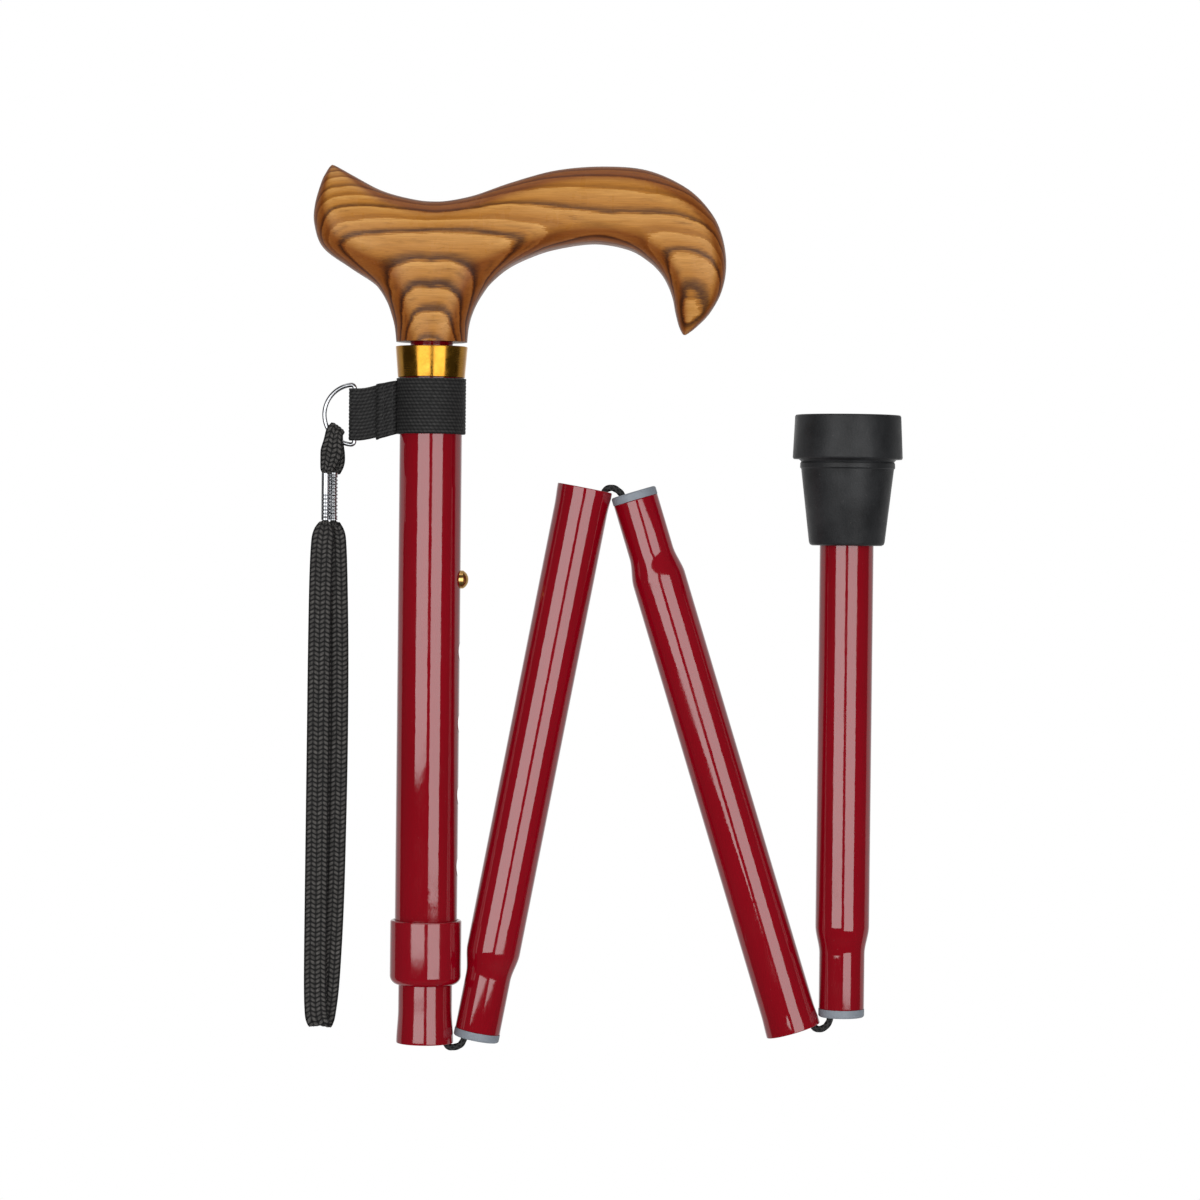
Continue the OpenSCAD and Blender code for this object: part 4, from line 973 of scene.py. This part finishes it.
# Wrist strap: x, y, z, width, thickness and tilt at each point of its middle line
STRAP_ROUTE = [
    (-36.9, 0, -105, 2, 2, 0), (-36.9, 0, -112.0, 2, 2, 0), (-37.0, -0.7, -113.9, 5.2, 2.3, 0),
    (-37.4, -1.25, -117, 7.6, 2.1, 0), (-37.9, -1.3, -122, 8, 1.9, 0), (-38.3, -1.25, -136, 8.1, 1.8, 0),
    (-38.5, -1.25, -160, 8.1, 1.8, 0), (-38.6, -1.25, -190, 8.1, 1.8, 0), (-38.7, -1.25, -220, 8.1, 1.8, 0),
    (-38.8, -1.25, -250, 8.1, 1.8, 0), (-38.8, -1.3, -275, 8.1, 1.8, 0), (-38.4, -1.5, -286, 8.1, 1.8, 0),
    (-37.7, -1.1, -289.2, 8.1, 1.8, 0), (-37.0, 0, -290.4, 8.1, 1.8, 0), (-36.3, 1.1, -289.2, 8.1, 1.8, 0),
    (-35.6, 1.5, -286, 8.1, 1.8, 0), (-34.4, 1.3, -275, 8.1, 1.8, 0), (-33.2, 1.25, -250, 8.1, 1.8, 0),
    (-32.6, 1.25, -220, 8.1, 1.8, 0), (-32.3, 1.25, -190, 8.1, 1.8, 0), (-32.4, 1.25, -160, 8.1, 1.8, 0),
    (-32.9, 1.25, -136, 8.1, 1.8, 0), (-33.4, 1.3, -122, 8, 1.9, 0), (-33.8, 1.25, -117, 7.6, 2.1, 0),
    (-34.0, 0.7, -113.9, 5.2, 2.3, 0), (-34.1, 0, -112.0, 2, 2, 0), (-34.1, 0, -96.6, 2, 2, 0),
    (-33.7, 0.7, -95.0, 4.4, 2.3, 6), (-33.4, 1.6, -92.2, 6.0, 2.1, 12), (-33.7, 2.6, -89.0, 6.6, 1.8, 16),
    (-34.2, 3.0, -84.9, 6.4, 1.8, 28), (-33.9, 2.6, -81.6, 5.8, 1.8, 36), (-33.1, 1.5, -80.2, 5.8, 1.8, 36),
    (-32.9, 0, -79.8, 5.8, 1.8, 36), (-33.1, -1.5, -80.2, 6.0, 1.8, 34), (-33.8, -2.7, -81.5, 6.2, 1.8, 30),
    (-34.2, -3.1, -84.0, 6.6, 1.8, 27), (-34.7, -2.7, -88.2, 8.0, 1.8, 14), (-35.7, -1.7, -92, 6.4, 2.1, 10),
    (-36.6, -0.7, -95.0, 4.4, 2.3, 5), (-36.9, 0, -96.6, 2, 2, 0), (-36.9, 0, -104.8, 2, 2, 0),
]
BRAID_COLUMNS = 4
BRAID_PITCH = 1.65
BRAID_EDGE = 0.35


def braid_relief(length, u):
    """Flat braid: slanted strands that turn over at every column, so pairs of columns read as chevrons."""
    column = math.floor(u * BRAID_COLUMNS)
    v = u * BRAID_COLUMNS - column
    slant = v if column % 2 == 0 else 1 - v
    w = length / BRAID_PITCH + 0.55 * slant
    w = w - np.floor(w) - 0.5
    strand = np.sqrt(np.clip(1 - (1.98 * w) ** 2, 0, 1))
    body = strand * (0.25 + 0.75 * half_round(v - 0.5))
    return 0.42 * (body - 1), 0.05 + 0.95 * body


def braid_section():
    """The braid's outline: share of its width, side, and how far out a rounded edge stands."""
    columns, rounding = 32, 6
    loop = []
    for side, edge in ((1.0, 1.0), (-1.0, 0.0)):
        loop += [(abs(1 - edge - k / columns), side, 0.0) for k in range(columns + 1)]
        for k in range(1, rounding):
            a = math.pi * k / rounding
            loop.append((edge, side * math.cos(a), side * math.sin(a)))
    return loop


def make_strap(braid):
    """The wrist strap: one flat braid, with its own width, thickness and tilt at every point."""
    route = smooth_path(STRAP_ROUTE, 0.21)
    p, half_width, half_thickness, tilt = route[:, :3], route[:, 3] / 2, route[:, 4] / 2, np.radians(route[:, 5])
    t = directions(p)
    wide = np.stack([np.cos(tilt), np.zeros(len(p)), -np.sin(tilt)], axis=1)
    thin = np.cross(t, wide)
    thin /= np.linalg.norm(thin, axis=1)[:, None]
    broad = np.cross(thin, t)
    run = distances(p)
    loop = braid_section()
    points, values = np.zeros((len(p), len(loop), 3)), np.zeros((len(p), len(loop)))
    for j, (u, side, out) in enumerate(loop):
        face = out == 0.0
        lift, raised = braid_relief(run + (0.5 if side < 0 else 0.0), min(max(u, 0.001), 0.999))
        crown = 1 - 0.35 * abs(2 * u - 1) ** 3
        across_braid = (2 * u - 1) * (half_width - BRAID_EDGE) + BRAID_EDGE * out
        through = side * (half_thickness * crown + (lift if face else 0.0))
        points[:, j] = p + broad * across_braid[:, None] + thin * through[:, None]
        values[:, j] = raised if face else 0.5 + 0.4 * np.sin(run * 2 * math.pi / BRAID_PITCH)
    obj = piece(
        "wrist_strap_form", points.reshape(-1, 3), capped_faces(len(p), len(loop)), "strap", braid,
        ("wrist_strap",), 70.0, values.ravel(),
    )


# The metal sleeve that holds the strap's ends
CRIMP_X, CRIMP_TOP_Z, CRIMP_HEIGHT = -35.5, -95.7, 16.6
CRIMP_RIBS = 13
LOBE_R, LOBE_WALL = 1.5, 0.35


def lobe_radius(side, share, a):
    """A lobe's outside: rolled ribs all the way down, or pressed teeth on the front of its lower part."""
    if side > 0:
        ends = min(1.0, 10 * share, 10 * (1 - share))
        return LOBE_R - 0.34 * math.sin(share * CRIMP_RIBS * math.pi) ** 2 * ends
    if share > 0.45:
        tooth = max(0.0, math.sin(share * 2 * CRIMP_RIBS * math.pi)) * max(0.0, -math.sin(a))
        return LOBE_R - 0.30 * tooth * min(1.0, 8 * (1 - share))
    return LOBE_R


def make_crimp(chrome):
    """The crimp: a sheet sleeve rolled into two lobes."""
    rows, around = 280, 40
    points, faces = [], []
    for side in (-1, 1):
        centre = CRIMP_X + side * (LOBE_R - LOBE_WALL / 4)
        first = len(points)
        for k in range(rows + 1):
            z = CRIMP_TOP_Z - CRIMP_HEIGHT * k / rows
            for x, y in circle(1.0, around):
                r = lobe_radius(side, k / rows, math.atan2(y, x))
                points.append((centre + r * x, r * y, z))
        for z in (CRIMP_TOP_Z - CRIMP_HEIGHT, CRIMP_TOP_Z):
            points += [(centre + x, y, z) for x, y in circle(LOBE_R - LOBE_WALL, around)]
        faces += [tuple(first + c for c in f) for f in grid_faces(rows + 3, around, True, True)]
    piece("strap_crimp_form", points, faces, "strap", chrome, ("strap_crimp",), 50.0)


def make_ring(chrome):
    """The D ring: a straight bar and a half round bow of wire, joined by small round corners."""
    corner, sides = 1.2, 24
    reach = BOW_R - corner
    centre = math.sqrt(reach**2 - corner**2)
    lean = math.degrees(math.asin(centre / reach))
    half = [(-BOW_R * math.cos(a), BOW_R * math.sin(a)) for a in np.radians(np.arange(0.0, lean, 3.0))]
    for a in np.radians(np.linspace(180.0 - lean, 0.0, 13)):
        half.append((corner * (math.cos(a) - 1), centre + corner * math.sin(a)))
    half += [(0.0, centre * (1 - k / 14)) for k in range(1, 14)]
    outline = half + [(0.0, 0.0)] + [(x, -z) for x, z in reversed(half[1:])]
    loop = np.array([(BAR_X + x, 0.0, BAR_Z + z) for x, z in outline])
    t = np.roll(loop, -1, axis=0) - np.roll(loop, 1, axis=0)
    t /= np.linalg.norm(t, axis=1)[:, None]
    side = np.stack([t[:, 2], np.zeros(len(t)), -t[:, 0]], axis=1)
    points = [q + x * n + np.array((0, y, 0)) for q, n in zip(loop, side) for x, y in circle(WIRE_R, sides)]
    faces = grid_faces(len(loop), sides, True, True)
    piece("strap_ring_form", points, faces, "ring", chrome, ("strap_ring",), 60.0)


# Studio


def build_world():
    """White behind the object; reflections see it too, with a dim room round the camera."""
    world = bpy.data.worlds.new("studio")
    bpy.context.scene.world = world
    world.use_nodes = True
    world.node_tree.nodes.clear()
    g = Graph(world.node_tree)
    paths = g.add("LightPath").outputs
    way = g.add("SeparateXYZ", {0: g.add("TexCoord").outputs["Generated"]}).outputs
    side_walls = g.span(way["Y"], 0.24, 0.36, 0.05, 0.5, smooth=True)
    behind = g.math("ADD", side_walls, g.span(way["Y"], 0.82, 0.96, 0.0, 0.5))
    ground = g.span(way["Z"], -0.25, -0.6, 0.0, 0.08, smooth=True)
    mirrored = g.math("MAXIMUM", paths["Is Glossy Ray"], paths["Is Transmission Ray"])
    room = g.math("MAXIMUM", behind, ground)
    soft = g.math("MULTIPLY", g.math("SUBTRACT", 1.0, mirrored), 0.28)
    fill = g.math("ADD", g.math("MULTIPLY", room, mirrored), soft)
    strength = g.math("MAXIMUM", fill, paths["Is Camera Ray"])
    sky = g.add("Background", {"Color": (1.0, 1.0, 1.0), "Strength": strength})
    g.put(g.add("OutputWorld").inputs["Surface"], sky.outputs[0])


def softbox(name, place, aim, width, height, strength):
    light = bpy.data.lights.new(name, "AREA")
    light.shape = "RECTANGLE"
    light.size = width
    light.size_y = height
    light.energy = strength * math.pi * width * height
    obj = bpy.data.objects.new(name, light)
    obj.location = place
    obj.rotation_mode = "QUATERNION"
    obj.rotation_quaternion = (Vector(aim) - Vector(place)).to_track_quat("-Z", "Y")
    bpy.context.scene.collection.objects.link(obj)


def build_floor():
    """A pale floor that fades into the white surround."""
    mesh = bpy.data.meshes.new("floor")
    reach, z = 3.4, -1.05
    corners = [(-reach, -reach, z), (reach, -reach, z), (reach, reach, z), (-reach, reach, z)]
    mesh.from_pydata(corners, [], [(0, 1, 2, 3)])
    material = bpy.data.materials.new("pale_floor")
    material.use_nodes = True
    material.node_tree.nodes.clear()
    g = Graph(material.node_tree)
    here = g.add("TexCoord").outputs["Object"]
    far = g.add("VectorMath", {0: here}, operation="LENGTH").outputs["Value"]
    paint = g.mix(g.noise(here, 60.0, 2.0), (0.93, 0.93, 0.93), (0.96, 0.96, 0.96))
    shader = g.add("BsdfPrincipled", {"Base Color": paint, "Roughness": 0.8})
    clear = g.add("BsdfTransparent")
    fade = g.span(far, 1.2, 3.1, smooth=True)
    glow = g.add("Emission", {"Color": (1.0, 1.0, 1.0), "Strength": 1.0})
    paths = g.add("LightPath").outputs
    seen = g.math("MULTIPLY", paths["Is Camera Ray"], 0.95)
    pale = g.add("MixShader", {0: seen, 1: shader.outputs[0], 2: glow.outputs[0]})
    gone = g.math("MAXIMUM", fade, paths["Is Glossy Ray"])
    shown = g.add("MixShader", {0: gone, 1: pale.outputs[0], 2: clear.outputs[0]})
    g.put(g.add("OutputMaterial").inputs["Surface"], shown.outputs[0])
    mesh.materials.append(material)
    obj = bpy.data.objects.new("floor", mesh)
    bpy.context.scene.collection.objects.link(obj)


def build_camera():
    """The photograph's view: nearly level, square to the shaft, and rolled a little."""
    data = bpy.data.cameras.new("camera")
    data.lens, data.sensor_width = 119.0, 36.0
    camera = bpy.data.objects.new("camera", data)
    bpy.context.scene.collection.objects.link(camera)
    place, aim = Vector((0.0603, -1.4, -0.1183)), Vector((0.0603, 0.0, -0.1395))
    forward = (aim - place).normalized()
    roll = math.radians(0.62)
    right = Vector((math.cos(roll), 0.0, math.sin(roll)))
    right = (right - forward * right.dot(forward)).normalized()
    up = right.cross(forward)
    camera.matrix_world = Matrix.Translation(place) @ Matrix((right, up, -forward)).transposed().to_4x4()
    bpy.context.scene.camera = camera


def build_studio():
    scene = bpy.context.scene
    scene.view_settings.view_transform = "Standard"
    build_world()
    build_floor()
    build_camera()
    middle = (0.06, 0.0, -0.14)
    softbox("left_softbox", (-0.586, -1.354, -0.06), (0.06, 0.0, -0.04), 1.18, 0.8, 2.9)
    softbox("right_softbox", (0.729, -1.342, -0.16), middle, 1.06, 1.0, 2.75)
    softbox("top_softbox", (0.06, -0.2, 1.5), middle, 1.6, 1.2, 1.2)


def build_object():
    build_handling_marks()
    build_moulded_skin()
    build_polish_lines()
    build_yarn_fibres()
    wood = wood_material()
    red = lacquer_material("red_lacquer", (0.275, 0.0010, 0.0085), (0.235, 0.0006, 0.006), 0.035)
    red_cap = lacquer_material("red_moulded_cap", (0.285, 0.0014, 0.0100), (0.245, 0.0009, 0.007), 0.06)
    gold = metal_material(
        "polished_gold", (0.58, 0.285, 0.036), (0.48, 0.215, 0.022), 0.13, (0.3, 0.3, 6.0), 0.0012
    )
    brass = metal_material("button_brass", (0.72, 0.45, 0.16), (0.60, 0.34, 0.10), 0.16, (1.2, 1.2, 1.2), 0.004)
    steel = metal_material("spring_steel", (0.55, 0.55, 0.57), (0.42, 0.42, 0.44), 0.24, (0.6, 6.0, 0.6), 0.003)
    chrome = metal_material("bright_wire", (0.56, 0.57, 0.59), (0.42, 0.43, 0.45), 0.07, (2.0, 2.0, 2.0), 0.003)
    grey = moulded_material("grey_end_rings", (0.19, 0.215, 0.25), (0.27, 0.30, 0.34), 0.42, 0.5, 0.012)
    black = moulded_material("black_plugs", (0.012, 0.012, 0.013), (0.03, 0.03, 0.032), 0.45, 0.4, 0.02)
    rubber = moulded_material(
        "ferrule_rubber", (0.010, 0.0105, 0.0115), (0.030, 0.031, 0.033), 0.42, 0.55, 0.05, 0.8
    )
    # Each yarn's second colour is the painted highlight on its raised crests
    web = yarn_material("black_webbing", (0.016, 0.016, 0.016), (0.052, 0.051, 0.050), 0.04)
    braid = yarn_material("black_braid", (0.018, 0.0175, 0.017), (0.125, 0.118, 0.111), 0.04)
    cord = yarn_material("elastic_cord", (0.022, 0.022, 0.023), (0.055, 0.054, 0.053), 0.04)

    make_handle(wood)
    make_handle_collar(gold)
    make_upper_tube(red)
    make_folding_tubes(red)
    make_lock_collar(red_cap)
    make_end_rings(grey)
    make_ferrule(rubber)
    make_button(brass)
    make_cord_bends(cord)
    make_cord_runs(cord)
    make_band(web)
    make_stitches(cord)
    make_ring(chrome)
    make_crimp(chrome)
    make_strap(braid)
    # Nodes whose own shape is right take only a material
    plain = {
        "lock_bush": black, "anchor_top": black, "anchor_tip": black, "knot_top": cord, "knot_tip": cord,
        "button_spring": steel, "ferrule_washer": steel,
    }
    for node, material in plain.items():
        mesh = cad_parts[node].data
        mesh.materials.clear()
        mesh.materials.append(material)


build_object()
build_studio()
